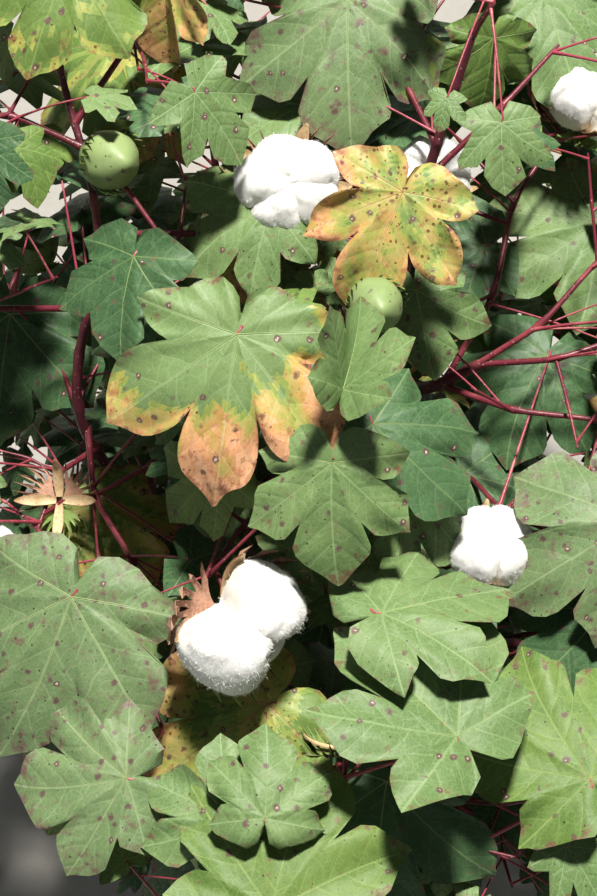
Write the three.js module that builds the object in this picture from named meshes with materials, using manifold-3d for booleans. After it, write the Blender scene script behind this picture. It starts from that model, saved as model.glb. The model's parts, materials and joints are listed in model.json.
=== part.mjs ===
// A cotton plant at picking time, rooted in level ground: a leaning main stem, five long limbs,
// zigzag fruiting sprays with lobed leaves on long stalks, open bolls, green bolls and empty burs.
// Millimetres, +Z up. The origin is the middle of the flat cut under the main stem.

import * as THREE from "three";
import { mergeVertices } from "three/addons/utils/BufferGeometryUtils.js";
import Module from "manifold-3d";

const wasm = await Module();
wasm.setup();

const CLEAR = 0.3; // gap between two pieces that meet
const TURN = Math.PI / 180;
const UP = new THREE.Vector3(0, 0, 1);

// The crown is a round space with a flattened top; nothing made by rule leaves it.
const CROWN = { centre: [-5, 5, 430], reach: 425, height: 420, lowest: 125 };
// The shown leaves and bolls stay in sight from here: nothing made by rule hangs before them, and
// inside the window of this view an open boll made by rule hangs only behind leaves.
const ONLOOKER = new THREE.Vector3(-50, -660, 1640);
const WINDOW = { slope: -60, wide: 0.185, tall: 0.28 };

// Limbs: where each leaves its parent, the points that it passes, and its first and last radius.
const LIMBS = {
  main_stem: { through: [[0, 0, 0], [12, 50, 330], [40, 125, 620], [76, 188, 770]], radii: [10.5, 3] },
  left_limb: {
    from: "main_stem",
    height: 90,
    through: [[-120, 0, 285], [-224, 15, 500], [-202, 97, 650], [-224, 179, 720], [-234, 205, 765]],
    radii: [7, 2.4],
  },
  right_limb: { from: "main_stem", height: 465, through: [[54, 30, 542], [92, 36, 566]], radii: [6.2, 4.4] },
  front_limb: { from: "main_stem", height: 60, through: [[20, -150, 290], [-10, -270, 500]], radii: [6.5, 2.6] },
  right_front_limb: { from: "main_stem", height: 120, through: [[130, -90, 310], [215, -190, 500]], radii: [6, 2.6] },
  back_left_limb: { from: "main_stem", height: 150, through: [[-90, 150, 350], [-130, 300, 570]], radii: [6, 2.6] },
  back_right_limb: { from: "main_stem", height: 180, through: [[130, 170, 380], [200, 300, 580]], radii: [6, 2.6] },
};
const ROOT_FLARE = { height: 45, extra: 5.5, rings: [8, 20, 45] }; // the main stem widens at the ground
const SIDES = { limb: 6, twig: 3 };

// Sprays that the plant shows: limb, height on it, where the twig's tip is, and its nodes.
const SHOWN_SPRAYS = [
  { on: "left_limb", height: 650, tip: [-72, 92, 658], nodes: 2 },
  { on: "main_stem", height: 430, tip: [-117, -165, 592], nodes: 4 },
  { on: "left_limb", height: 500, tip: [-145, -255, 515], nodes: 4 },
  { on: "left_limb", height: 478, tip: [-255, -75, 500], nodes: 2 },
  { on: "left_limb", height: 695, tip: [-320, 160, 705], nodes: 2 },
  { on: "right_limb", height: 553, tip: [160, 215, 632], nodes: 3 },
  { on: "right_limb", height: 562, tip: [235, 110, 640], nodes: 3 },
  { on: "right_limb", tip: [262, 30, 600], nodes: 3 },
  { on: "right_limb", height: 549, tip: [235, -60, 575], nodes: 3 },
  { on: "main_stem", height: 385, tip: [150, -105, 545], nodes: 4 },
  { on: "front_limb", height: 420, tip: [80, -330, 500], nodes: 3 },
  { on: "front_limb", height: 370, tip: [-90, -350, 450], nodes: 3 },
  { on: "main_stem", height: 560, tip: [-40, -50, 655], nodes: 3 },
  { on: "main_stem", height: 690, tip: [-20, 250, 720], nodes: 2 },
];
const ZIGZAG = 9; // how far each node of a twig stands to one side
const TIP_SPRAY = { limb: 48, stem: 34, nodes: 2 };
const TWIG = { first: 3.5, last: 2.3, arch: 14 };
const STALK = { foot: 1.6, head: 0.6, node: 0.12 }; // it leaves its twig a little before the node

// Sprays made by rule, on each long limb: heights, and reach at the crown's foot and top.
const RULE_SPRAYS = { lowest: 215, step: 88, reachLow: 215, reachTop: 120, rise: 0.34, fan: 62, nodeEvery: 68, apart: 14, shift: 5 };

// Leaves that the plant shows: stalk's head, heading, droop, roll and width.
const SHOWN_LEAVES = [
  { at: [-91, -53, 740], heading: 260, droop: 26, roll: 0, width: 160 },
  { at: [23, 66, 742], heading: 245, droop: 30, roll: -6, width: 118 },
  { at: [-13, 242, 752], heading: 268, droop: 24, roll: 4, width: 152 },
  { at: [-147, 236, 790], heading: 262, droop: 58, roll: 20, width: 105 },
  { at: [-215, 235, 800], heading: 250, droop: 20, roll: -5, width: 125 },
  { at: [-21, -95, 738], heading: 72, droop: -18, roll: 14, width: 88 },
  { at: [-28, -130, 702], heading: 268, droop: 34, roll: 3, width: 108 },
  { at: [2, -76, 662], heading: 318, droop: 16, roll: 4, width: 125 },
  { at: [6, -207, 632], heading: 18, droop: 4, roll: -18, width: 128 },
  { at: [55, -287, 612], heading: 132, droop: -8, roll: 10, width: 150 },
  { at: [150, -299, 562], heading: 122, droop: -2, roll: -8, width: 142 },
  { at: [195, -120, 602], heading: 205, droop: 12, roll: -14, width: 150 },
  { at: [176, -164, 548], heading: 228, droop: 18, roll: -4, width: 118 },
  { at: [-209, -181, 602], heading: 250, droop: 24, roll: 0, width: 168 },
  { at: [-168, -298, 560], heading: 188, droop: 8, roll: -16, width: 118 },
  { at: [-72, -236, 540], heading: 214, droop: 14, roll: -8, width: 150 },
  { at: [-95, -331, 566], heading: 150, droop: -4, roll: -10, width: 92 },
  { at: [-72, -335, 590], heading: 86, droop: -14, roll: 0, width: 84 },
  { at: [-68, -388, 560], heading: 76, droop: -12, roll: 4, width: 150 },
  { at: [12, -290, 530], heading: 262, droop: 22, roll: 0, width: 150 },
  { at: [-212, -34, 468], heading: 300, droop: 12, roll: 0, width: 108 },
  { at: [-282, 88, 560], heading: 262, droop: 24, roll: -4, width: 150 },
  { at: [104, 156, 562], heading: 196, droop: 8, roll: -12, width: 104 },
  { at: [196, 172, 572], heading: 216, droop: 10, roll: -12, width: 140 },
  { at: [152, 70, 528], heading: 238, droop: 14, roll: -4, width: 130 },
  { at: [38, 52, 644], heading: 282, droop: 22, roll: 0, width: 92 },
  { at: [144, 296, 702], heading: 286, droop: 14, roll: 4, width: 132 },
  { at: [100, 240, 712], heading: 264, droop: 56, roll: -18, width: 82 },
  { at: [84, -16, 482], heading: 300, droop: 8, roll: 0, width: 140 },
  { at: [26, -98, 606], heading: 320, droop: 20, roll: 0, width: 92 },
  { at: [-70, 92, 694], heading: 205, droop: 10, roll: -14, width: 108 },
];

// Bolls that the plant shows: middle, the way it faces, and its half width.
const SHOWN_BOLLS = [
  { kind: "open", at: [-58, 112, 692], faces: [0.1, -0.55, 0.83], size: 39 },
  { kind: "open", at: [-87, -205, 606], faces: [0.5, -0.62, 0.6], size: 43 },
  { kind: "open", at: [92, -122, 566], faces: [0.2, 0.1, 0.97], size: 33 },
  { kind: "open", at: [183, 233, 655], faces: [0.3, 0.2, 0.93], size: 37 },
  { kind: "open", at: [52, 160, 640], faces: [0.4, -0.3, 0.87], size: 36 },
  { kind: "green", at: [-190, 128, 702], faces: [0.55, -0.6, 0.58], size: 22 },
  { kind: "bur", at: [-240, -62, 522], faces: [-0.1, -0.5, 0.86], size: 26 },
  { kind: "green", at: [4, 4, 692], faces: [0.2, -0.7, 0.68], size: 20 },
];

// The leaf: five pointed lobes round the stalk's head, by turn, length and half spread.
const LOBES = [
  { turn: 0, length: 1, spread: 24 },
  { turn: 48, length: 0.88, spread: 25 },
  { turn: 100, length: 0.62, spread: 28 },
];
const LOBE_TIP = { drop: 0.12, angle: 4 };
const LOBE_FALL = { share: 0.3, power: 1.6 };
const LEAF_BASE = { length: 0.4, middle: 120, spread: 62 };
const LEAF_WIDTH = 1.31; // of the middle lobe's length
const LEAF_CURL = 0.2;
const LEAF_PLEAT = 0.07;
const LEAF_THICK = 0.02; // of the leaf's width, at the stalk's head
const LEAF_SEAT = { far: 0.05, turn: 156 }; // where the stalk ends in the blade
const FINE_RIM = [0, 12, 25, 37, 48, 60, 77, 100, 145, 180];
const PLAIN_RIM = [0, 13, 25, 48, 62, 100, 145, 180];

// Leaves and fruit made by rule, each size as its least value and its spread.
const RULE_LEAF = {
  tries: 14,
  aside: [45, 35],
  rise: [28, 34],
  stalk: [58, 62],
  droop: [6, 30],
  roll: 16,
  width: [104, 50],
};
const RULE_BOLL = {
  share: 0.5,
  open: 0.72,
  green: 0.88,
  tries: 10,
  swing: 47,
  slopes: [38, 12, 62],
  stalk: 16,
  open_size: [31, 7],
  green_size: [18, 4],
};
const SPACE = { blade: 6, bead: 3, every: 12, foot: 26 };
const COVERING = 0.9; // the share of a blade that hides what is behind it
const BLOCKED = 70; // a stalk goes this much further to a node that it reaches freely

// Shares of a fruit's half width: an open boll's four lint locks, the cup of four dry claws behind
// them, a green boll, and its cup of three bracts.
const LINT = { around: 12, down: 4, groove: 0.74, deep: 0.78, dimple: 0.62, locks: 4 };
const GREEN = { wide: 0.86, tall: 1.12, around: 7, down: 4 };
const CLAW_CUP = { points: 4, out: 1.14, front: 0.14, valley: 0.36, back: 0.62 };
const BRACT_CUP = { points: 3, out: 1.12, front: 0.6, valley: 0.5, back: 0.5 };
const CUP_HUB = { over: 0.5, under: 0.95 };
const PEDUNCLE = { node: 1.8, boll: 2.4, node_share: 0.25, aside: 0.16, seat: 0.72 };

const vector = (xyz) => new THREE.Vector3(...xyz);
const between = (a, b, t) => a + (b - a) * t;
const folded = (degrees) => Math.abs(((((degrees + 180) % 360) + 360) % 360) - 180);

/** A point moved straight away from another by a distance. */
const stretched = (point, from, by) => point.clone().addScaledVector(point.clone().sub(from).normalize(), by);

/** A source of numbers from 0 to 1 that gives the same row for the same seed. */
function dice(seed) {
  let state = (seed * 7919 + 104729) % 4294967296;
  return () => {
    state = (1664525 * state + 1013904223) % 4294967296;
    return state / 4294967296;
  };
}

/** A unit vector from a heading in the ground plane and a slope above it, in degrees. */
function direction(heading, slope) {
  const flat = Math.cos(slope * TURN);
  return new THREE.Vector3(
    Math.cos(heading * TURN) * flat,
    Math.sin(heading * TURN) * flat,
    Math.sin(slope * TURN),
  );
}

/** How far the leaf's rim is from the stalk's head, in lengths of the middle lobe. */
function rim(degrees) {
  const turn = folded(degrees);
  let far = 0;
  for (const lobe of LOBES) {
    const off = Math.abs(turn - lobe.turn);
    const tip = LOBE_TIP.drop * (1 - Math.exp(-off / LOBE_TIP.angle));
    const fall = LOBE_FALL.share * (off / lobe.spread) ** LOBE_FALL.power;
    far = Math.max(far, lobe.length * (1 - tip - fall));
  }
  const base = 1 - ((turn - LEAF_BASE.middle) / LEAF_BASE.spread) ** 2;
  return Math.max(far, LEAF_BASE.length * Math.sqrt(Math.max(0, base)));
}

/** How high the leaf's surface stands over the plane of its stalk's head, in the same lengths. */
function relief(far, degrees) {
  const turn = folded(degrees);
  const off = Math.min(...LOBES.map((lobe) => Math.abs(turn - lobe.turn) / lobe.spread));
  return LEAF_PLEAT * far * Math.min(1, off) ** 2 - LEAF_CURL * far * far;
}

/** One leaf blade: its place, its three axes and its length, with points that stand for it. */
class Blade {
  constructor({ at, heading, droop, roll, width }, angles) {
    this.head = vector(at);
    this.length = width / LEAF_WIDTH;
    this.along = direction(heading, -droop);
    this.aside = direction(heading + 90, 0).applyAxisAngle(this.along, roll * TURN);
    this.normal = this.along.clone().cross(this.aside);
    this.middle = this.point(0.3, 0);
    this.radius = 0.62 * width;
    this.angles = [...angles, ...angles.slice(1, -1).map((a) => -a).reverse()];
    this.samples = [this.head, this.middle];
    for (const a of this.angles) this.samples.push(this.point(rim(a), a), this.point(rim(a) / 2, a));
  }

  point(far, degrees, lift = 0) {
    return this.head
      .clone()
      .addScaledVector(this.along, this.length * far * Math.cos(degrees * TURN))
      .addScaledVector(this.aside, this.length * far * Math.sin(degrees * TURN))
      .addScaledVector(this.normal, this.length * relief(far, degrees) + lift);
  }

  /** True if the point is within the gap of the blade's surface. */
  near(point, gap) {
    const away = point.clone().sub(this.head);
    const x = away.dot(this.along);
    const y = away.dot(this.aside);
    const far = Math.hypot(x, y);
    if (far > this.length + gap) return false;
    const degrees = Math.atan2(y, x) / TURN;
    const edge = rim(degrees) * this.length;
    if (far > edge + gap) return false;
    const height = this.length * relief(Math.min(far, edge) / this.length, degrees);
    return Math.abs(away.dot(this.normal) - height) < gap;
  }

  /** True if the blade hangs between a point and the onlooker. */
  covers(point) {
    const way = ONLOOKER.clone().sub(point);
    const share = this.head.clone().sub(point).dot(this.normal) / way.dot(this.normal);
    if (share < 0 || share > 1) return false;
    const away = point.clone().addScaledVector(way, share).sub(this.head);
    const [x, y] = [away.dot(this.along), away.dot(this.aside)];
    return Math.hypot(x, y) < COVERING * rim(Math.atan2(y, x) / TURN) * this.length;
  }

  /** A lens of the leaf's outline, thickest at the stalk's head. */
  solid(margin = 0) {
    const half = (LEAF_THICK / 2) * this.length * LEAF_WIDTH + 4 * margin;
    const edge = this.angles.map((angle) => stretched(this.point(rim(angle), angle), this.head, 2 * margin));
    return lensSolid(edge, this.point(0, 0, half), this.point(0, 0, -half));
  }
}

/** What the plant's space already holds: blades, and beads along stems and in bolls. */
class Space {
  constructor() {
    this.blades = [];
    this.beads = [];
    this.kept = [];
    this.feet = [];
  }

  addTube(points, radius, owner) {
    for (let i = 1; i < points.length; i++) {
      const steps = Math.ceil(points[i].distanceTo(points[i - 1]) / SPACE.every);
      for (let k = 0; k < steps; k++) {
        this.beads.push({ at: points[i - 1].clone().lerp(points[i], k / steps), radius, owner });
      }
    }
    this.beads.push({ at: points.at(-1).clone(), radius, owner });
  }

  bladeFits(blade) {
    for (const p of blade.samples) if (!inCrown(p)) return false;
    for (const other of this.blades) {
      if (other.middle.distanceTo(blade.middle) > other.radius + blade.radius) continue;
      if (blade.samples.some((p) => other.near(p, SPACE.blade))) return false;
      if (other.samples.some((p) => blade.near(p, SPACE.blade))) return false;
    }
    return !this.beads.some((bead) => blade.near(bead.at, bead.radius + SPACE.bead));
  }

  /** True if a tube touches nothing, apart from what is at its foot and the thing that it carries. */
  tubeFits(points, radius, foot, own) {
    for (let i = 1; i < points.length; i++) {
      const steps = Math.ceil(points[i].distanceTo(points[i - 1]) / SPACE.every);
      for (let k = 0; k <= steps; k++) {
        const p = points[i - 1].clone().lerp(points[i], k / steps);
        const reach = radius + SPACE.bead;
        if (this.blades.some((blade) => blade !== own && blade.near(p, reach))) return false;
        if (p.distanceTo(points[0]) < foot) continue;
        if (this.beads.some((bead) => bead.owner !== own && bead.at.distanceTo(p) < bead.radius + reach)) return false;
      }
    }
    return true;
  }

  /** True if a fruit is in the onlooker's window with a side that no blade hides. */
  shows({ at, size }) {
    const offs = [[0, 0], [1, 0], [-1, 0], [0, 1], [0, -1]].map(([x, y]) => new THREE.Vector3(x, y, 0));
    const bare = (p) => inWindow(p) && !this.blades.some((blade) => blade.covers(p));
    return offs.some((off) => bare(at.clone().addScaledVector(off, size * 0.8)));
  }

  /** True if a thing here would hang before a leaf or boll that the plant shows. */
  hides(middle, radius) {
    return this.kept.some((item) => {
      const way = ONLOOKER.clone().sub(item.middle);
      const far = way.length();
      const away = middle.clone().sub(item.middle);
      const along = away.dot(way) / far;
      if (along < 6) return false;
      const aside = Math.sqrt(Math.max(0, away.lengthSq() - along * along));
      return aside < (item.radius + radius) * 0.66 * (1 - along / far);
    });
  }
}

/** True if a point is in the window of the onlooker's view. */
function inWindow(p) {
  const look = direction(90, WINDOW.slope);
  const away = p.clone().sub(ONLOOKER);
  const depth = away.dot(look);
  const high = away.dot(direction(90, WINDOW.slope + 90));
  return Math.abs(away.x) < WINDOW.wide * depth && Math.abs(high) < WINDOW.tall * depth;
}

function inCrown(p) {
  const { centre, reach, height, lowest } = CROWN;
  const out = Math.hypot(p.x - centre[0], p.y - centre[1]) / reach;
  return out ** 2 + ((p.z - centre[2]) / height) ** 4 < 1 && p.z > lowest;
}

/** The limbs: the points of each one's path, from its foot up, and its radius at each height. */
function growLimbs() {
  const limbs = {};
  for (const [name, { from, height, through, radii }] of Object.entries(LIMBS)) {
    const points = through.map(vector);
    if (from) points.unshift(pointAtHeight(limbs[from].path, height));
    const curve = new THREE.CatmullRomCurve3(points, false, "catmullrom", 0.5);
    const path = curve.getPoints(2 * points.length);
    const radius = (z) => {
      const flare = from ? 0 : ROOT_FLARE.extra * Math.max(0, 1 - z / ROOT_FLARE.height) ** 2;
      return between(...radii, (z - path[0].z) / (path.at(-1).z - path[0].z)) + flare;
    };
    if (!from) path.splice(1, 0, ...ROOT_FLARE.rings.map((z) => pointAtHeight(path, z)));
    limbs[name] = { name, from, path, radius };
  }
  return limbs;
}

/** Where a rising path passes a height. */
function pointAtHeight(path, height) {
  const k = Math.max(1, path.findIndex((point) => point.z >= height));
  return path[k - 1].clone().lerp(path[k], (height - path[k - 1].z) / (path[k].z - path[k - 1].z));
}

/** The way a limb's path runs at its tip. */
const tipWay = ({ path }) => path.at(-1).clone().sub(path.at(-2)).normalize();

/** The nodes of a twig: a low arch from foot to tip, each node to one side in turn. */
function zigzag(foot, tip, nodes) {
  const across = tip.clone().sub(foot).cross(UP).normalize();
  const points = [foot];
  for (let k = 1; k <= nodes; k++) {
    const share = k / nodes;
    const side = (k % 2 ? 1 : -1) * (k < nodes ? ZIGZAG : 0);
    points.push(
      foot
        .clone()
        .lerp(tip, share)
        .addScaledVector(across, side)
        .addScaledVector(UP, TWIG.arch * Math.sin(Math.PI * share)),
    );
  }
  return points;
}

/** A leaf's stalk, from just before its node to its seat in the blade. */
const leafStalk = (node, blade) => [
  node.at.clone().lerp(node.before, STALK.node),
  blade.point(LEAF_SEAT.far, LEAF_SEAT.turn),
];

/** A fruit's short stalk, from before its node to its seat beside the fruit's axis. */
function peduncle({ at, faces, size }, node) {
  const [aside] = acrossAxis(faces);
  const seat = at.clone().addScaledVector(faces, -PEDUNCLE.seat * size).addScaledVector(aside, PEDUNCLE.aside * size);
  return [node.at.clone().lerp(node.before, PEDUNCLE.node_share), seat];
}

/** Every spray's twig: those that show, one at each limb's tip, and the rest by rule. */
function growTwigs(limbs, space) {
  const sprays = [];
  const add = (limb, foot, tip, nodes) => {
    const twig = zigzag(foot, tip, nodes);
    sprays.push({ name: `${limb.name}_spray_${sprays.filter((s) => s.limb === limb).length + 1}`, limb, twig });
    space.addTube(twig, TWIG.first);
    space.feet.push(foot);
  };
  for (const { on, height, tip, nodes } of SHOWN_SPRAYS) {
    const path = limbs[on].path;
    add(limbs[on], height ? pointAtHeight(path, height) : path.at(-1), vector(tip), nodes);
  }
  for (const limb of Object.values(limbs)) {
    if (limb.name === "right_limb") continue;
    const foot = limb.path.at(-1);
    const reach = limb.from ? TIP_SPRAY.limb : TIP_SPRAY.stem;
    add(limb, foot, foot.clone().addScaledVector(tipWay(limb), reach), TIP_SPRAY.nodes);
  }
  Object.values(limbs).forEach((limb, order) => {
    if (limb.name !== "right_limb") addRuleTwigs(limb, order, space, add);
  });
  return sprays;
}

/** Twigs that leave a limb outward, to its left and right in turn, shorter towards the top. */
function addRuleTwigs(limb, order, space, add) {
  const roll = dice(order + 11);
  const top = limb.path.at(-1).z;
  let side = order % 2 ? 1 : -1;
  for (let height = RULE_SPRAYS.lowest; height < top - 40; height += RULE_SPRAYS.step) {
    while (space.feet.some((other) => other.distanceTo(pointAtHeight(limb.path, height)) < RULE_SPRAYS.apart)) {
      height += RULE_SPRAYS.shift;
    }
    const foot = pointAtHeight(limb.path, height);
    const reach = between(RULE_SPRAYS.reachLow, RULE_SPRAYS.reachTop, height / top) * between(0.85, 1.15, roll());
    const outward = Math.atan2(foot.y - CROWN.centre[1], foot.x - CROWN.centre[0]) / TURN;
    const first = (limb.from ? outward : order * 135 + height * 1.6) + side * RULE_SPRAYS.fan * between(0.5, 1.1, roll());
    for (const swing of [0, 28, -28, 56, -56, 84]) {
      const way = direction(first + swing * side, 0).addScaledVector(UP, RULE_SPRAYS.rise);
      const tip = foot.clone().addScaledVector(way, reach);
      const nodes = Math.max(2, Math.round(reach / RULE_SPRAYS.nodeEvery));
      if (!inCrown(tip) || !space.tubeFits(zigzag(foot, tip, nodes), TWIG.first, SPACE.foot)) continue;
      add(limb, foot, tip, nodes);
      break;
    }
    side = -side;
  }
}

/** Hangs a leaf on a node and marks the space that its stalk takes. */
function addLeaf(node, blade, stalk, space) {
  node.leaves.push({ blade, stalk });
  space.addTube(stalk, STALK.foot, blade);
}

/** Hangs a fruit on a node and marks the space that its stalk takes. */
function addFruit(node, fruit, space) {
  node.fruits.push(fruit);
  space.addTube(peduncle(fruit, node), PEDUNCLE.boll, fruit);
}

/** Marks the space that a fruit's round body takes. */
function addBody(fruit, space) {
  space.beads.push({ at: fruit.at, radius: fruit.size * 0.9, owner: fruit });
}

/** The node that carries a shown thing: the nearest one that its stalk can reach, if any can. */
function carrier(nodes, head, things, tube, own, space) {
  const cost = (node) => {
    const steep = Math.max(0, node.at.z - head.z + 12) * 3;
    const blocked = space.tubeFits(tube(node), STALK.foot, SPACE.foot, own) ? 0 : BLOCKED;
    return node.at.distanceTo(head) + steep + 50 * node[things].length + blocked;
  };
  const costs = nodes.map(cost);
  return nodes[costs.indexOf(Math.min(...costs))];
}

/** All leaves and fruit: the shown ones first, then fruit and leaves by rule on the free nodes. */
function growFoliage(sprays, space) {
  const nodes = sprays.flatMap((spray, order) =>
    spray.twig.slice(1).map((at, k) => {
      const before = spray.twig[k];
      return { spray, at, before, k, seed: order * 16 + k, leaves: [], fruits: [] };
    }),
  );
  const blades = SHOWN_LEAVES.map((shown) => new Blade(shown, FINE_RIM));
  const fruits = SHOWN_BOLLS.map((shown) => ({
    ...shown,
    at: vector(shown.at),
    faces: vector(shown.faces).normalize(),
  }));
  space.blades.push(...blades);
  space.kept.push(...blades.map(({ middle, radius }) => ({ middle, radius })));
  for (const fruit of fruits) {
    addBody(fruit, space);
    space.kept.push({ middle: fruit.at, radius: fruit.size * 1.3 });
  }
  for (const fruit of fruits) {
    const tube = (node) => peduncle(fruit, node);
    addFruit(carrier(nodes, fruit.at, "fruits", tube, fruit, space), fruit, space);
  }
  for (const blade of blades) {
    const tube = (node) => leafStalk(node, blade);
    const node = carrier(nodes, blade.head, "leaves", tube, blade, space);
    addLeaf(node, blade, tube(node), space);
  }
  for (const node of nodes) if (!node.leaves.length) addRuleLeaf(node, space);
  for (const node of nodes) if (!node.fruits.length) addRuleFruit(node, space);
  return nodes;
}

/** The way that a node's twig runs, as a heading in degrees. */
function twigHeading(node) {
  const way = node.spray.twig.at(-1).clone().sub(node.spray.twig[0]);
  return Math.atan2(way.y, way.x) / TURN;
}

function addRuleFruit(node, space) {
  const roll = dice(node.seed + 500);
  const [share, kind, size, turn] = [roll(), roll(), roll(), roll()];
  if (share > RULE_BOLL.share) return;
  const name = kind < RULE_BOLL.open ? "open" : kind < RULE_BOLL.green ? "green" : "bur";
  const range = name === "open" ? RULE_BOLL.open_size : RULE_BOLL.green_size;
  const half = range[0] + range[1] * size;
  const first = twigHeading(node) + (node.k % 2 ? -1 : 1) * (40 + 50 * turn);
  for (let k = 0; k < RULE_BOLL.tries; k++) {
    const faces = direction(first + RULE_BOLL.swing * k, RULE_BOLL.slopes[k % 3]);
    const at = node.at.clone().addScaledVector(faces, RULE_BOLL.stalk + half);
    const fruit = { kind: name, at, faces, size: half };
    const free =
      inCrown(at) &&
      !(name === "open" && space.shows(fruit)) &&
      !space.hides(at, half) &&
      !space.blades.some((blade) => blade.near(at, half + SPACE.bead)) &&
      !space.beads.some((bead) => bead.at.distanceTo(at) < bead.radius + half + SPACE.bead) &&
      space.tubeFits(peduncle(fruit, node), PEDUNCLE.boll, SPACE.foot / 2, fruit);
    if (!free) continue;
    addBody(fruit, space);
    addFruit(node, fruit, space);
    return;
  }
}

function addRuleLeaf(node, space) {
  const roll = dice(node.seed + 40);
  const pick = ([least, spread]) => least + spread * roll();
  const side = node.k % 2 ? 1 : -1;
  for (let k = 0; k < RULE_LEAF.tries; k++) {
    const heading = twigHeading(node) + side * pick(RULE_LEAF.aside) + 52 * k;
    const reach = direction(heading, pick(RULE_LEAF.rise));
    const head = node.at.clone().addScaledVector(reach, pick(RULE_LEAF.stalk));
    const blade = new Blade(
      {
        at: head.toArray(),
        heading: heading + 24 * (roll() - 0.5),
        droop: pick(RULE_LEAF.droop),
        roll: RULE_LEAF.roll * (2 * roll() - 1),
        width: pick(RULE_LEAF.width) * (1 - 0.05 * k),
      },
      PLAIN_RIM,
    );
    const stalk = leafStalk(node, blade);
    if (space.hides(blade.middle, blade.radius) || !space.bladeFits(blade)) continue;
    if (!space.tubeFits(stalk, STALK.foot, SPACE.foot, blade)) continue;
    space.blades.push(blade);
    addLeaf(node, blade, stalk, space);
    return;
  }
}

/** A tube along points: a cylinder whose rings are moved onto them. */
function tubeGeometry(points, radii, sides) {
  const rings = points.length - 1;
  const shape = new THREE.CylinderGeometry(1, 1, rings, sides, rings);
  const frames = [];
  let side = new THREE.Vector3(1, 0, 0);
  points.forEach((point, i) => {
    const upright = i === 0 && point.z === 0;
    const [low, high] = [points[Math.max(i - 1, 0)], points[Math.min(i + 1, rings)]];
    const way = upright ? UP.clone() : high.clone().sub(low).normalize();
    if (Math.abs(side.dot(way)) > 0.9) side = new THREE.Vector3(0, 1, 0);
    side = side.clone().addScaledVector(way, -side.dot(way)).normalize();
    frames.push({ side, over: side.clone().cross(way) });
  });
  const place = shape.getAttribute("position");
  for (let i = 0; i < place.count; i++) {
    const ring = Math.round(place.getY(i) + rings / 2);
    const to = points[ring]
      .clone()
      .addScaledVector(frames[ring].side, place.getX(i) * radii[ring])
      .addScaledVector(frames[ring].over, place.getZ(i) * radii[ring]);
    place.setXYZ(i, to.x, to.y, to.z);
  }
  return shape;
}

/** A three.js geometry as a solid. */
function solid(geometry) {
  geometry.deleteAttribute("normal");
  geometry.deleteAttribute("uv");
  const merged = mergeVertices(geometry, 1e-4);
  return new wasm.Manifold(
    new wasm.Mesh({
      numProp: 3,
      vertProperties: new Float32Array(merged.getAttribute("position").array),
      triVerts: new Uint32Array(merged.index.array),
    }),
  );
}

/** A lens: a closed rim, and a point over and under it. */
function lensSolid(edge, over, under) {
  const count = edge.length;
  const shape = new THREE.SphereGeometry(1, count, 2);
  const place = shape.getAttribute("position");
  for (let i = 0; i < place.count; i++) {
    const level = Math.round(place.getY(i));
    const step = Math.round((Math.atan2(place.getZ(i), -place.getX(i)) / (2 * Math.PI)) * count);
    const to = [under, edge[(step + count) % count], over][level + 1];
    place.setXYZ(i, to.x, to.y, to.z);
  }
  return solid(shape);
}

/** The piece of a solid that holds most of its stem, without the scraps that a cut left loose. */
function wholePiece(shape, stem) {
  const share = (piece) => piece.intersect(stem).volume();
  return shape.decompose().reduce((best, piece) => (share(piece) > share(best) ? piece : best));
}

/** A limb as a tapering tube on its level foot, grown by a margin when it is used as a cutter. */
function limbSolid(limb, margin = 0) {
  const path = [...limb.path];
  path[path.length - 1] = path.at(-1).clone().addScaledVector(tipWay(limb), margin);
  const radii = limb.path.map((point) => limb.radius(point.z) + margin);
  return solid(tubeGeometry(path, radii, SIDES.limb));
}

/** Two directions square to a fruit's axis. */
function acrossAxis(axis) {
  const first = new THREE.Vector3(1, 0, 0).addScaledVector(axis, -axis.x).normalize();
  return [first, axis.clone().cross(first)];
}

/** A point of a fruit: its turn round the axis, how far out and how far forward, in half widths. */
function fruitPoint({ at, faces, size }, turn, out, forward) {
  const [first, second] = acrossAxis(faces);
  return at
    .clone()
    .addScaledVector(first, out * size * Math.cos(turn))
    .addScaledVector(second, out * size * Math.sin(turn))
    .addScaledVector(faces, forward * size);
}

/** The cup behind a fruit: dry claws or green bracts as the points of a star. */
function cupSolid(fruit, { points, out, front, valley, back }, margin) {
  const edge = [...Array(2 * points).keys()].map((i) => {
    const turn = (i / points) * Math.PI;
    const to = i % 2 ? fruitPoint(fruit, turn, valley, -back) : fruitPoint(fruit, turn, out, front);
    return stretched(to, fruit.at, 2 * margin);
  });
  const hub = (share, by) => fruitPoint(fruit, 0, 0, by / fruit.size - share);
  return lensSolid(edge, hub(CUP_HUB.over, 4 * margin), hub(CUP_HUB.under, -4 * margin));
}

/** A ball whose axis is the fruit's, with its points moved by a rule of their turn and height. */
function ballSolid({ at, faces }, size, around, down, wide, tall) {
  const shape = new THREE.SphereGeometry(1, around, down);
  const [first, second] = acrossAxis(faces);
  const place = shape.getAttribute("position");
  for (let i = 0; i < place.count; i++) {
    const [x, y, z] = [place.getX(i), place.getY(i), place.getZ(i)];
    const turn = Math.atan2(z, x);
    const to = at
      .clone()
      .addScaledVector(first, x * size * wide(turn))
      .addScaledVector(second, -z * size * wide(turn))
      .addScaledVector(faces, y * size * tall(y));
    place.setXYZ(i, to.x, to.y, to.z);
  }
  return solid(shape);
}

/** Fluffed lint: as many round lobes as locks, with a groove between each two. */
function lintSolid(fruit, margin) {
  const wide = (turn) => between(LINT.groove, 1, Math.min(1, Math.abs(Math.sin((turn * LINT.locks) / 2)) * 1.2));
  const tall = (y) => (y > 0.9 ? LINT.dimple : LINT.deep);
  return ballSolid(fruit, fruit.size + 2 * margin, LINT.around, LINT.down, wide, tall);
}

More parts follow.
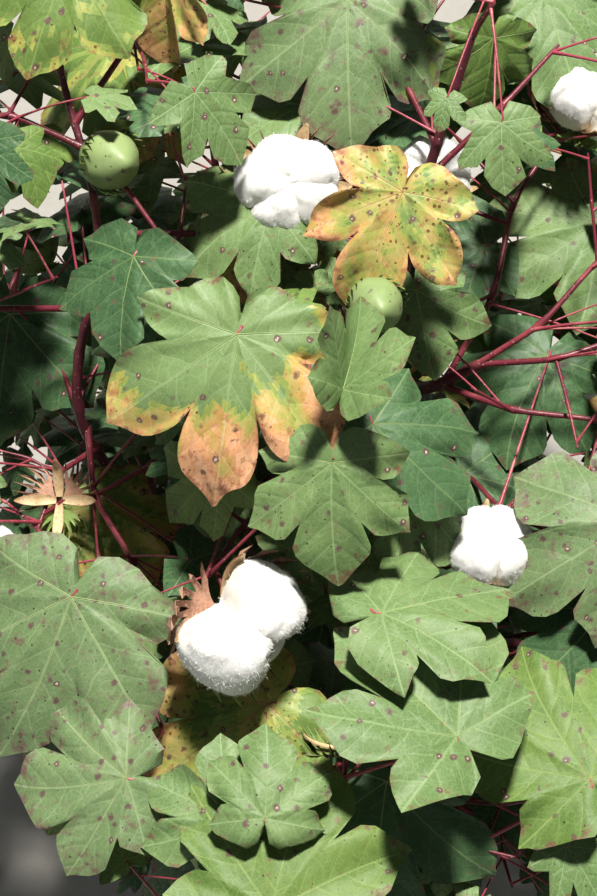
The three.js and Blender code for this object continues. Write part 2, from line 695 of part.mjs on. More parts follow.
/** A tube as a solid, wider and longer by a margin. */
function tubeSolid(points, radii, margin) {
  const path = [...points];
  path[0] = stretched(points[0], points[1], margin);
  path[path.length - 1] = stretched(points.at(-1), points.at(-2), margin);
  return solid(tubeGeometry(path, radii.map((radius) => radius + margin), SIDES.twig));
}

/** A fruit on its short stalk: fluffed lint in its claws, a green boll in bracts, or an empty bur. */
function fruitSolids(fruit, node, margin) {
  const { kind, size } = fruit;
  const parts = [tubeSolid(peduncle(fruit, node), [PEDUNCLE.node, PEDUNCLE.boll], margin)];
  parts.push(cupSolid(fruit, kind === "green" ? BRACT_CUP : CLAW_CUP, margin));
  if (kind === "open") parts.push(lintSolid(fruit, margin));
  if (kind === "green") {
    parts.push(ballSolid(fruit, size + 2 * margin, GREEN.around, GREEN.down, () => GREEN.wide, () => GREEN.tall));
  }
  return parts;
}

/** The solids of a spray in two lists: its twig, stalks and fruit, and its blades. */
function sprayParts({ twig, nodes }, margin = 0) {
  const widths = twig.map((_, i) => between(TWIG.first, TWIG.last, i / (twig.length - 1)));
  const wood = [tubeSolid(twig, widths, margin)];
  const blades = [];
  for (const node of nodes) {
    for (const { blade, stalk } of node.leaves) {
      wood.push(tubeSolid(stalk, [STALK.foot, STALK.head], margin));
      blades.push(blade.solid(margin));
    }
    for (const fruit of node.fruits) wood.push(...fruitSolids(fruit, node, margin));
  }
  return { wood, blades };
}

/** A solid without what it shares with the cutters. */
const cutBy = (shape, cutters) =>
  cutters.reduce((rest, cutter) => (rest.intersect(cutter).volume() > 0 ? rest.subtract(cutter) : rest), shape);

/**
 * The sprays as solids that touch nothing: each is cut clear of the limbs and of the sprays before
 * it, and its blades are cut clear of every other spray's twigs, stalks and fruit.
 */
function spraySolids(sprays, limbCutters) {
  const parts = sprays.map((spray) => sprayParts(spray));
  const grown = sprays.map((spray) => sprayParts(spray, CLEAR));
  return sprays.map((_, order) => {
    const { wood, blades } = parts[order];
    const stem = wasm.Manifold.union(wood);
    const before = grown.slice(0, order);
    const others = grown.filter((_, i) => i !== order);
    const woodCut = cutBy(stem, before.flatMap((other) => other.wood));
    const bladesCut = blades.map((blade) =>
      cutBy(blade, [...others.flatMap((other) => other.wood), ...before.flatMap((other) => other.blades)]),
    );
    return wholePiece(cutBy(wasm.Manifold.union([woodCut, ...bladesCut]), limbCutters), parts[order].wood[0]);
  });
}

/** A finished solid as a named mesh. */
function meshOf(name, shape, material) {
  const { vertProperties, triVerts } = shape.getMesh();
  const geometry = new THREE.BufferGeometry();
  geometry.setAttribute("position", new THREE.BufferAttribute(vertProperties, 3));
  geometry.setIndex(new THREE.BufferAttribute(triVerts, 1));
  geometry.computeVertexNormals();
  const mesh = new THREE.Mesh(geometry, material);
  mesh.name = name;
  return mesh;
}

const bark = new THREE.MeshStandardMaterial({ color: 0x5a2028, roughness: 0.55, metalness: 0 });
const foliage = new THREE.MeshStandardMaterial({ color: 0x4f7a3c, roughness: 0.6, metalness: 0 });

const limbs = growLimbs();
const space = new Space();
for (const limb of Object.values(limbs)) {
  space.addTube(limb.path, limb.radius(limb.path[2].z));
}
const sprays = growTwigs(limbs, space);
const nodes = growFoliage(sprays, space);

for (const spray of sprays) spray.nodes = nodes.filter((node) => node.spray === spray);

const plant = new THREE.Group();
const grown = Object.fromEntries(Object.entries(limbs).map(([name, limb]) => [name, limbSolid(limb, CLEAR)]));
for (const limb of Object.values(limbs)) {
  const whole = limbSolid(limb);
  plant.add(meshOf(limb.name, limb.from ? wholePiece(whole.subtract(grown[limb.from]), whole) : whole, bark));
}
spraySolids(sprays, Object.values(grown)).forEach((shape, order) => {
  plant.add(meshOf(sprays[order].name, shape, foliage));
});

export default plant;
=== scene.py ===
"""A cotton plant at picking time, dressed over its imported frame.

The plant is grown again by the rule of its solids, in millimetres, and the rule then goes on to side
twigs and smaller leaves inside the same crown. Each kind of thing is one joined piece, in metres.
"""

from __future__ import annotations

import json
import logging
import math
from dataclasses import dataclass, field
from enum import Enum
from functools import partial
from typing import Callable, Sequence

import bmesh
import bpy
import numpy as np
from mathutils import Matrix, Vector, noise

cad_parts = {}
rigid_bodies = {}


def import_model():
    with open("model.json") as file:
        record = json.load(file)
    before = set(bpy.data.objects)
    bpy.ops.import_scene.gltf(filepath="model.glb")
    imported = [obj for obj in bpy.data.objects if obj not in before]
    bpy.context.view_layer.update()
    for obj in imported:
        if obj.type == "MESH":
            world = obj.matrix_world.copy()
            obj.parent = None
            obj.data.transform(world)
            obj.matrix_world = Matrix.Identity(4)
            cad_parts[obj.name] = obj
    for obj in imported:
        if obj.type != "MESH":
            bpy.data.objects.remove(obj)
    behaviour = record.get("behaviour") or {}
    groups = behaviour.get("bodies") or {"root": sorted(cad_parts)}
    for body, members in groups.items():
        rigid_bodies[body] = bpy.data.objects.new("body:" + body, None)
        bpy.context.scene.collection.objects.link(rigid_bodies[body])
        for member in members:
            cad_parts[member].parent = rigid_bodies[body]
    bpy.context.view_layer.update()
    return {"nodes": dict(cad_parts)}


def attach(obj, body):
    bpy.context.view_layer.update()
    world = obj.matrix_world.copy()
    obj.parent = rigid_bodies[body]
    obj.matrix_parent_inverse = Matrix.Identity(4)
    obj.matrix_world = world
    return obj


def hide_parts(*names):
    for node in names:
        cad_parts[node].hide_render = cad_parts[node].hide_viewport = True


LOG = logging.getLogger("cotton_plant")
MM = 0.001
TURN = math.pi / 180
UP = np.array([0.0, 0.0, 1.0])
MARKS = "form_place"
Point = np.ndarray
Points = np.ndarray


# Numbers and directions


def between(a: float, b: float, share: float) -> float:
    """The value at a share of the way from a to b."""
    return a + (b - a) * share


def unit(way: Point) -> Point:
    """The same way with a length of one."""
    return way / math.sqrt(way @ way)


def direction(heading: float, slope: float) -> Point:
    """A unit vector from a heading in the ground plane and a slope above it, in degrees."""
    turn, tilt = heading * TURN, slope * TURN
    return np.array([math.cos(turn) * math.cos(tilt), math.sin(turn) * math.cos(tilt), math.sin(tilt)])


def heading_of(way: Point) -> float:
    """The heading of a way in the ground plane, in degrees."""
    return math.atan2(way[1], way[0]) / TURN


def linear(code: str) -> tuple[float, float, float, float]:
    """A screen colour such as "6b8f47" as the linear colour that a shader takes."""
    parts = [int(code[i : i + 2], 16) / 255 for i in (0, 2, 4)]
    return (*[c / 12.92 if c <= 0.04045 else ((c + 0.055) / 1.055) ** 2.4 for c in parts], 1.0)


def ripple(places: Points, wave: float, seed: int, waves: int = 6) -> np.ndarray:
    """Smooth irregular values from about -1 to 1 over places in space.

    Args:
        places: One row for each place.
        wave: The usual distance between two crests, in the places' own unit.
        seed: The same seed gives the same values.
        waves: How many plane waves are added up.

    Returns:
        One value for each place.
    """
    chance = np.random.default_rng(seed)
    total = np.zeros(len(places))
    for _ in range(waves):
        way = chance.normal(size=3)
        way *= 2 * math.pi / wave / np.linalg.norm(way) * chance.uniform(0.6, 1.5)
        total += np.sin(places @ way + chance.uniform(0, 2 * math.pi))
    return total / math.sqrt(waves)


class Dice:
    """A source of numbers from 0 to 1 that gives the same row for the same seed."""

    WRAP = 2**32

    def __init__(self, seed: int) -> None:
        """Starts the row."""
        self.state = (seed * 7919 + 104729) % self.WRAP

    def roll(self) -> float:
        """The next number."""
        self.state = (1664525 * self.state + 1013904223) % self.WRAP
        return self.state / self.WRAP

    def pick(self, span: Sequence[float]) -> float:
        """A number from a least value and a spread."""
        return span[0] + span[1] * self.roll()


# The plan of the plant


@dataclass(frozen=True)
class LimbPlan:
    """One limb: the points that it passes, its first and last radius, and where it leaves its parent."""

    name: str
    through: tuple[tuple[float, float, float], ...]
    radii: tuple[float, float]
    parent: str = ""
    height: float = 0.0


@dataclass(frozen=True)
class SprayPlan:
    """One spray that the plant shows: its limb, its foot's height (none at the tip), its tip and nodes."""

    limb: str
    height: float | None
    tip: tuple[float, float, float]
    nodes: int


class Green(Enum):
    """The greens that a living leaf may have, by its slot among the leaf finishes."""

    MID = 0
    DEEP = 1
    BRIGHT = 2
    SPOTTED = 14


@dataclass(frozen=True)
class Look:
    """How a leaf has aged.

    Its green turns to yellow, ochre and brown as a number rises from 0 to 1: turned all over, slope more
    towards one side of the leaf, rim more at its edge, and patch in some places more than in others. Curl
    bends its outer part down, fold closes it along its midrib, and cut deepens the bays between its lobes.
    """

    green: Green = Green.MID
    turned: float = 0.1
    slope: float = 0.0
    towards: float = 0.0
    rim: float = 0.1
    patch: float = 0.05
    curl: float = 0.0
    fold: float = 0.0
    cut: float = 0.0


@dataclass(frozen=True)
class LeafPlan:
    """One leaf that the plant shows: its stalk's head, heading, droop, roll, width and look."""

    at: tuple[float, float, float]
    heading: float
    droop: float
    roll: float
    width: float
    look: Look = Look()


class Kind(Enum):
    """What a boll has come to."""

    OPEN = "open"
    GREEN = "green"
    BUR = "bur"


@dataclass(frozen=True)
class BollPlan:
    """One boll that the plant shows.

    It has a kind, a middle, the way it faces, half its width, and its locks of lint with each one's size.
    """

    kind: Kind
    at: tuple[float, float, float]
    faces: tuple[float, float, float]
    size: float
    locks: int = 4
    fill: tuple[float, ...] = (1, 1, 1, 1, 1)


LIMBS = (
    LimbPlan("main_stem", ((0, 0, 0), (12, 50, 330), (40, 125, 620), (76, 188, 770)), (10.5, 3)),
    LimbPlan(
        "left_limb",
        ((-120, 0, 285), (-224, 15, 500), (-202, 97, 650), (-224, 179, 720), (-234, 205, 765)),
        (7, 2.4),
        "main_stem",
        90,
    ),
    LimbPlan("right_limb", ((54, 30, 542), (92, 36, 566)), (6.2, 4.4), "main_stem", 465),
    LimbPlan("front_limb", ((20, -150, 290), (-10, -270, 500)), (6.5, 2.6), "main_stem", 60),
    LimbPlan("right_front_limb", ((130, -90, 310), (215, -190, 500)), (6, 2.6), "main_stem", 120),
    LimbPlan("back_left_limb", ((-90, 150, 350), (-130, 300, 570)), (6, 2.6), "main_stem", 150),
    LimbPlan("back_right_limb", ((130, 170, 380), (200, 300, 580)), (6, 2.6), "main_stem", 180),
)

SHORT_BOUGH = "right_limb"
SHOWN_SPRAYS = (
    SprayPlan("left_limb", 650, (-72, 92, 658), 2),
    SprayPlan("main_stem", 430, (-117, -165, 592), 4),
    SprayPlan("left_limb", 500, (-145, -255, 515), 4),
    SprayPlan("left_limb", 478, (-255, -75, 500), 2),
    SprayPlan("left_limb", 695, (-320, 160, 705), 2),
    SprayPlan("right_limb", 553, (160, 215, 632), 3),
    SprayPlan("right_limb", 562, (235, 110, 640), 3),
    SprayPlan("right_limb", None, (262, 30, 600), 3),
    SprayPlan("right_limb", 549, (235, -60, 575), 3),
    SprayPlan("main_stem", 385, (150, -105, 545), 4),
    SprayPlan("front_limb", 420, (80, -330, 500), 3),
    SprayPlan("front_limb", 370, (-90, -350, 450), 3),
    SprayPlan("main_stem", 560, (-40, -50, 655), 3),
    SprayPlan("main_stem", 690, (-20, 250, 720), 2),
)

FRESH = Look()
DEEP = Look(Green.DEEP, 0.08)
BRIGHT = Look(Green.BRIGHT, 0.12)
SHOWN_LEAVES = (
    LeafPlan((-91, -53, 740), 260, 26, 0, 160, Look(Green.MID, 0.1, 0.84, 28, 0.22, 0.13, 0.15, 0, 0.12)),
    LeafPlan((23, 66, 742), 245, 30, -6, 118, Look(Green.BRIGHT, 0.45, 0.08, -60, 0.13, 0.08, 0.3, 0, 0.16)),
    LeafPlan((-13, 242, 752), 268, 24, 4, 152, Look(Green.SPOTTED, 0.1, 0.14, 60, 0.12, 0.05)),
    LeafPlan((-147, 236, 790), 262, 58, 20, 105, Look(Green.BRIGHT, 0.42, 0.22, 0, 0.1, 0.08, 0, 0.5)),
    LeafPlan((-215, 235, 800), 250, 20, -5, 125, Look(Green.BRIGHT, 0.25, 0.08, 0, 0.08, 0.06)),
    LeafPlan((-21, -95, 738), 72, -18, 14, 88, Look(fold=1.1)),
    LeafPlan((-28, -130, 702), 268, 34, 3, 108, FRESH),
    LeafPlan((2, -76, 662), 318, 16, 4, 125, DEEP),
    LeafPlan((6, -207, 632), 18, 4, -18, 128, FRESH),
    LeafPlan((55, -287, 612), 132, -8, 10, 150, Look(Green.MID, 0.1, 0.16, 180, 0.1, 0.05, 0, 0.2)),
    LeafPlan((150, -299, 562), 122, -2, -8, 142, BRIGHT),
    LeafPlan((195, -120, 602), 205, 12, -14, 150, Look(Green.SPOTTED)),
    LeafPlan((176, -164, 548), 228, 18, -4, 118, DEEP),
    LeafPlan((-209, -181, 602), 250, 24, 0, 168, Look(Green.SPOTTED, 0.14, 0.08, -60, 0.12, 0.06)),
    LeafPlan((-168, -298, 560), 188, 8, -16, 118, Look(Green.SPOTTED, 0.08)),
    LeafPlan((-72, -236, 540), 214, 14, -8, 150, Look(Green.BRIGHT, 0.4, 0.12, 0, 0.12, 0.08)),
    LeafPlan((-95, -331, 566), 150, -4, -10, 92, FRESH),
    LeafPlan((-72, -335, 590), 86, -14, 0, 84, FRESH),
    LeafPlan((-68, -388, 560), 76, -12, 4, 150, BRIGHT),
    LeafPlan((12, -290, 530), 262, 22, 0, 150, DEEP),
    LeafPlan((-212, -34, 468), 300, 12, 0, 108, Look(Green.BRIGHT, 0.38, 0.1, 0, 0.1, 0.08)),
    LeafPlan((-282, 88, 560), 262, 24, -4, 150, DEEP),
    LeafPlan((104, 156, 562), 196, 8, -12, 104, DEEP),
    LeafPlan((196, 172, 572), 216, 10, -12, 140, FRESH),
    LeafPlan((152, 70, 528), 238, 14, -4, 130, DEEP),
    LeafPlan((38, 52, 644), 282, 22, 0, 92, FRESH),
    LeafPlan((144, 296, 702), 286, 14, 4, 132, FRESH),
    LeafPlan((100, 240, 712), 264, 56, -18, 82, BRIGHT),
    LeafPlan((84, -16, 482), 300, 8, 0, 140, DEEP),
    LeafPlan((26, -98, 606), 320, 20, 0, 92, FRESH),
    LeafPlan((-70, 92, 694), 205, 10, -14, 108, FRESH),
)

SHOWN_BOLLS = (
    BollPlan(Kind.OPEN, (-58, 112, 692), (0.1, -0.55, 0.83), 39, 5),
    BollPlan(Kind.OPEN, (-87, -205, 606), (0.5, -0.62, 0.6), 43, 4, (1.12, 0, 1.2, 0.6)),
    BollPlan(Kind.OPEN, (92, -122, 566), (0.2, 0.1, 0.97), 33),
    BollPlan(Kind.OPEN, (183, 233, 655), (0.3, 0.2, 0.93), 37),
    BollPlan(Kind.OPEN, (52, 160, 640), (0.4, -0.3, 0.87), 36),
    BollPlan(Kind.GREEN, (-190, 128, 702), (0.55, -0.6, 0.58), 22),
    BollPlan(Kind.BUR, (-240, -62, 522), (-0.1, -0.5, 0.86), 26),
    BollPlan(Kind.GREEN, (4, 4, 692), (0.2, -0.7, 0.68), 20),
)


@dataclass(frozen=True)
class Crown:
    """The round space with a flattened top that nothing made by rule leaves."""

    centre: tuple[float, float, float] = (-5, 5, 430)
    reach: float = 425
    height: float = 420
    lowest: float = 125

    def holds(self, places: Points) -> bool:
        """True if every place is in the crown.

        Args:
            places: One row for each place.

        Returns:
            Whether the crown holds them all.
        """
        out = np.hypot(places[:, 0] - self.centre[0], places[:, 1] - self.centre[1]) / self.reach
        full = out**2 + ((places[:, 2] - self.centre[2]) / self.height) ** 4
        return bool(np.all((full < 1) & (places[:, 2] > self.lowest)))


@dataclass(frozen=True)
class Onlooker:
    """Where the shown leaves and bolls stay in sight from, and the window of that view."""

    eye: tuple[float, float, float] = (-50, -660, 1640)
    slope: float = -60
    wide: float = 0.185
    tall: float = 0.28

    def sees(self, place: Point) -> bool:
        """True if a place is in the window.

        Args:
            place: The place.

        Returns:
            Whether it is in the window.
        """
        away = place - np.array(self.eye)
        depth = away @ direction(90, self.slope)
        high = away @ direction(90, self.slope + 90)
        return abs(away[0]) < self.wide * depth and abs(high) < self.tall * depth


@dataclass(frozen=True)
class Lobe:
    """One of the leaf's pointed lobes: its turn from the midrib, its length and half its spread."""

    turn: float
    length: float
    spread: float


@dataclass(frozen=True)
class Outline:
    """The leaf's outline round its stalk's head and its relief, in lengths of the middle lobe."""

    lobes: tuple[Lobe, ...] = (Lobe(0, 1, 24), Lobe(48, 0.88, 25), Lobe(100, 0.62, 28))
    tip_drop: float = 0.12
    tip_angle: float = 4
    fall: float = 0.3
    power: float = 1.6
    base: float = 0.4
    base_middle: float = 120
    base_spread: float = 62
    width: float = 1.31
    curl: float = 0.2
    pleat: float = 0.07
    sinuses: tuple[float, ...] = (25, 75)
    pinch: float = 7
    pinch_soft: float = 2.5
    pinch_reach: float = 15
    full_fall: float = 0.33
    full_power: float = 2.3

    def rim(self, degrees: np.ndarray, full: float = 0.0) -> np.ndarray:
        """How far the rim is from the stalk's head at each turn, with rounder shoulders by the share full.

        Args:
            degrees: The turns from the midrib.
            full: The share of the fuller form.

        Returns:
            How far the rim is out at each turn.
        """
        turn = np.abs((np.asarray(degrees, float) + 180) % 360 - 180)
        far = np.zeros_like(turn)
        slope, power = between(self.fall, self.full_fall, full), between(self.power, self.full_power, full)
        for lobe in self.lobes:
            off = np.abs(turn - lobe.turn)
            tip = self.tip_drop * (1 - np.exp(-off / self.tip_angle))
            fall = slope * (off / lobe.spread) ** power
            far = np.maximum(far, lobe.length * (1 - tip - fall))
        base = 1 - ((turn - self.base_middle) / self.base_spread) ** 2
        return np.maximum(far, self.base * np.sqrt(np.maximum(0, base)))

    def full_rim(self, degrees: float) -> float:
        """The rim with fuller lobes and narrower slits between them, as the finished leaves have it.

        Args:
            degrees: The turn from the midrib.

        Returns:
            How far the rim is out there.
        """
        turn = abs((degrees + 180) % 360 - 180)
        for sinus in self.sinuses:
            off = turn - sinus
            near = math.exp(-((off / self.pinch_reach) ** 2))
            turn += self.pinch * math.tanh(off / self.pinch_soft) * near
        return float(self.rim(np.array(turn), 1))

    def relief(self, far: np.ndarray, degrees: np.ndarray) -> np.ndarray:
        """How high the surface stands over the plane of the stalk's head.

        Args:
            far: How far out each place is.
            degrees: Its turn from the midrib.

        Returns:
            The height of each place.
        """
        turn = np.abs((np.asarray(degrees, float) + 180) % 360 - 180)
        off = np.min([np.abs(turn - lobe.turn) / lobe.spread for lobe in self.lobes], axis=0)
        return self.pleat * far * np.minimum(1, off) ** 2 - self.curl * far * far


OUTLINE = Outline()
CROWN = Crown()
ONLOOKER = Onlooker()
FINE_RIM = (0, 12, 25, 37, 48, 60, 77, 100, 145, 180)
PLAIN_RIM = (0, 13, 25, 48, 62, 100, 145, 180)


@dataclass(frozen=True)
class LeafRule:
    """How a leaf made by rule hangs on its node, each size as its least value and its spread."""

    tries: int = 14
    aside: tuple[float, float] = (45, 35)
    rise: tuple[float, float] = (28, 34)
    stalk: tuple[float, float] = (58, 62)
    droop: tuple[float, float] = (6, 30)
    roll: float = 16
    width: tuple[float, float] = (104, 50)
    swing: float = 52
    twist: float = 24
    shrink: float = 0.05


@dataclass(frozen=True)
class BollRule:
    """How often a boll made by rule grows, of which kind and size, and how it hangs."""

    share: float = 0.5
    open: float = 0.72
    green: float = 0.88
    tries: int = 10
    aside: tuple[float, float] = (40, 90)
    swing: float = 47
    slopes: tuple[float, ...] = (38, 12, 62)
    stalk: float = 16
    open_size: tuple[float, float] = (31, 7)
    green_size: tuple[float, float] = (18, 4)


@dataclass(frozen=True)
class TwigRule:
    """How twigs leave the limbs, in millimetres and degrees."""

    zigzag: float = 9
    first: float = 3.5
    arch: float = 14
    lowest: float = 215
    step: float = 88
    reach_low: float = 215
    reach_top: float = 120
    rise: float = 0.34
    fan: float = 62
    node_every: float = 68
    apart: float = 14
    shift: float = 5
    top_gap: float = 40
    reach_share: tuple[float, float] = (0.85, 1.15)
    fan_share: tuple[float, float] = (0.5, 1.1)
    limb_turn: float = 135
    height_turn: float = 1.6
    swings: tuple[float, ...] = (0, 28, -28, 56, -56, 84)
    tip_limb: float = 48
    tip_stem: float = 34
    tip_nodes: int = 2


# Sizes in millimetres, shares and seeds of the rule
FLARE, FLARE_HEIGHT, FLARE_RINGS = 5.5, 45, (8, 20, 45)
STALK_FOOT, STALK_NODE = 1.6, 0.12
SEAT_FAR, SEAT_TURN = 0.05, 156.0
BLADE_MIDDLE, BLADE_ROUND = 0.3, 0.62
BLADE_GAP, BEAD_GAP, BEAD_EVERY, FOOT = 6.0, 3.0, 12.0, 26.0
COVERING, BESIDE, BEFORE = 0.9, 0.66, 6
BOLL_BEAD, BOLL_SIDE, BOLL_KEPT = 0.9, 0.8, 1.3
BLOCKED, LADEN, STEEP, STEEP_FROM = 70.0, 50, 3, 12
PEDUNCLE_BOLL, PEDUNCLE_SHARE, PEDUNCLE_ASIDE, PEDUNCLE_SEAT = 2.4, 0.25, 0.16, 0.72
TWIG_SEED, FRUIT_SEED, LEAF_SEED, SIDE_SEED, LOOK_SEED, LOCK_SEED = 11, 500, 40, 900, 77, 9000


class Limb:
    """One limb: its smooth curve, the path that its twigs leave, and its radius at each height."""

    def __init__(self, plan: LimbPlan, parent: Limb | None) -> None:
        """Lays the limb's curve from its parent.

        Args:
            plan: The limb's plan.
            parent: The limb that carries it, if any.
        """
        self.plan = plan
        points = [np.array(p, float) for p in plan.through]
        if parent:
            points.insert(0, parent.at_height(plan.height))
        self.points = points
        self.path = self.curve(2 * len(points))
        self.ends = self.path[0][2], self.path[-1][2]
        if not parent:
            rings = [self.at_height(z) for z in FLARE_RINGS]
            self.path = [self.path[0], *rings, *self.path[1:]]

    def curve(self, steps: int) -> list[Point]:
        """Points of the smooth curve through the limb's points.

        Args:
            steps: How many equal steps to take.

        Returns:
            The points, one more than the steps.
        """
        last = len(self.points) - 1
        made = []
        for i in range(steps + 1):
            place = last * i / steps
            k = min(int(place), last - 1)
            t = place - k
            p = self.points
            before = p[k - 1] if k > 0 else 2 * p[0] - p[1]
            after = p[k + 2] if k + 2 <= last else 2 * p[last] - p[last - 1]
            t0, t1 = 0.5 * (p[k + 1] - before), 0.5 * (after - p[k])
            c2 = -3 * p[k] + 3 * p[k + 1] - 2 * t0 - t1
            c3 = 2 * p[k] - 2 * p[k + 1] + t0 + t1
            made.append(p[k] + t0 * t + c2 * t * t + c3 * t * t * t)
        return made

    def radius(self, z: float) -> float:
        """The limb's radius at a height."""
        flare = 0.0 if self.plan.parent else FLARE * max(0.0, 1 - z / FLARE_HEIGHT) ** 2
        return between(*self.plan.radii, (z - self.ends[0]) / (self.ends[1] - self.ends[0])) + flare

    def at_height(self, height: float) -> Point:
        """Where the rising path passes a height.

        Args:
            height: The height.

        Returns:
            The place on the limb's middle line.
        """
        k = max(1, next((i for i, p in enumerate(self.path) if p[2] >= height), 1))
        low, high = self.path[k - 1], self.path[k]
        return low + (high - low) * ((height - low[2]) / (high[2] - low[2]))


class Blade:
    """One leaf blade: its place, its three axes and its length, with points that stand for it."""

    def __init__(
        self, at: Point, heading: float, droop: float, roll: float, width: float, turns: Sequence[float]
    ) -> None:
        """Places the blade on its stalk's head.

        Args:
            at: The stalk's head.
            heading: Where the midrib points in the ground plane.
            droop: How far the midrib points down.
            roll: How far the blade leans over its midrib.
            width: The blade's width.
            turns: The turns of the rim at which the blade is tested.
        """
        self.head = np.array(at, float)
        self.length = width / OUTLINE.width
        self.along = direction(heading, -droop)
        across = direction(heading + 90, 0)
        self.aside = across * math.cos(roll * TURN) + np.cross(self.along, across) * math.sin(roll * TURN)
        self.normal = np.cross(self.along, self.aside)
        self.middle = self.points(np.array([BLADE_MIDDLE]), np.array([0.0]))[0]
        self.radius = BLADE_ROUND * width
        angles = np.array([*turns, *[-a for a in turns[1:-1]]], float)
        far = OUTLINE.rim(angles)
        ends = self.points(np.concatenate([far, far / 2]), np.concatenate([angles, angles]))
        self.samples = np.vstack([self.head, self.middle, ends])
        self.look = FRESH

    def points(self, far: np.ndarray, degrees: np.ndarray, lift: np.ndarray | float = 0.0) -> Points:
        """Points of the blade's surface, raised by a lift in millimetres.

        Args:
            far: How far out each point is, in lengths.
            degrees: Its turn from the midrib.
            lift: How far it is raised.

        Returns:
            One row for each point.
        """
        x = self.length * far * np.cos(degrees * TURN)
        y = self.length * far * np.sin(degrees * TURN)
        z = self.length * OUTLINE.relief(far, degrees) + lift
        return self.head + x[:, None] * self.along + y[:, None] * self.aside + z[:, None] * self.normal

    def near(self, places: Points, gap: np.ndarray | float) -> np.ndarray:
        """True for each place that is within the gap of the blade's surface.

        Args:
            places: The places to test.
            gap: The gap, one for all or one for each.

        Returns:
            One truth value for each place.
        """
        away = places - self.head
        x, y = away @ self.along, away @ self.aside
        far = np.hypot(x, y)
        degrees = np.arctan2(y, x) / TURN
        edge = OUTLINE.rim(degrees) * self.length
        height = self.length * OUTLINE.relief(np.minimum(far, edge) / self.length, degrees)
        inside = (far <= self.length + gap) & (far <= edge + gap)
        return inside & (np.abs(away @ self.normal - height) < gap)

    def covers(self, place: Point) -> bool:
        """True if the blade hangs between a place and the onlooker.

        Args:
            place: The place.

        Returns:
            Whether the blade hides it.
        """
        way = np.array(ONLOOKER.eye) - place
        share = (self.head - place) @ self.normal / (way @ self.normal)
        if share < 0 or share > 1:
            return False
        away = place + way * share - self.head
        x, y = away @ self.along, away @ self.aside
        return math.hypot(x, y) < COVERING * OUTLINE.rim(math.atan2(y, x) / TURN) * self.length


@dataclass(eq=False)
class Fruit:
    """One boll on the plant."""

    kind: Kind
    at: Point
    faces: Point
    size: float
    locks: int = 4
    fill: tuple[float, ...] = (1, 1, 1, 1, 1)

    def across(self) -> tuple[Point, Point]:
        """Two directions square to the boll's axis."""
        first = unit(np.array([1.0, 0, 0]) - self.faces * self.faces[0])
        return first, np.cross(self.faces, first)


@dataclass(eq=False)
class Node:
    """A place on a twig that can hold leaves and a boll."""

    at: Point
    before: Point
    heading: float
    k: int
    seed: int
    leaves: list[tuple[Blade, list[Point]]] = field(default_factory=list)
    fruits: list[tuple[Fruit, list[Point]]] = field(default_factory=list)


def leaf_stalk(node: Node, blade: Blade) -> list[Point]:
    """A leaf's stalk, from just before its node to its seat in the blade."""
    seat = blade.points(np.array([SEAT_FAR]), np.array([SEAT_TURN]))[0]
    return [node.at + (node.before - node.at) * STALK_NODE, seat]


def peduncle(fruit: Fruit, node: Node) -> list[Point]:
    """A boll's short stalk, from before its node to its seat beside the boll's axis.

    Args:
        fruit: The boll.
        node: The node that carries it.

    Returns:
        The stalk's two ends.
    """
    aside = fruit.across()[0]
    seat = fruit.at - fruit.faces * (PEDUNCLE_SEAT * fruit.size) + aside * (PEDUNCLE_ASIDE * fruit.size)
    return [node.at + (node.before - node.at) * PEDUNCLE_SHARE, seat]


def steps_along(points: Sequence[Point], last: bool) -> Points:
    """Places along a line of points, closer together than the beads stand.

    Args:
        points: The line.
        last: Whether each piece's far end counts too.

    Returns:
        One row for each place.
    """
    made = []
    for low, high in zip(points, points[1:]):
        steps = math.ceil(np.linalg.norm(high - low) / BEAD_EVERY)
        made += [low + (high - low) * (k / steps) for k in range(steps + (1 if last else 0))]
    return np.array(made)


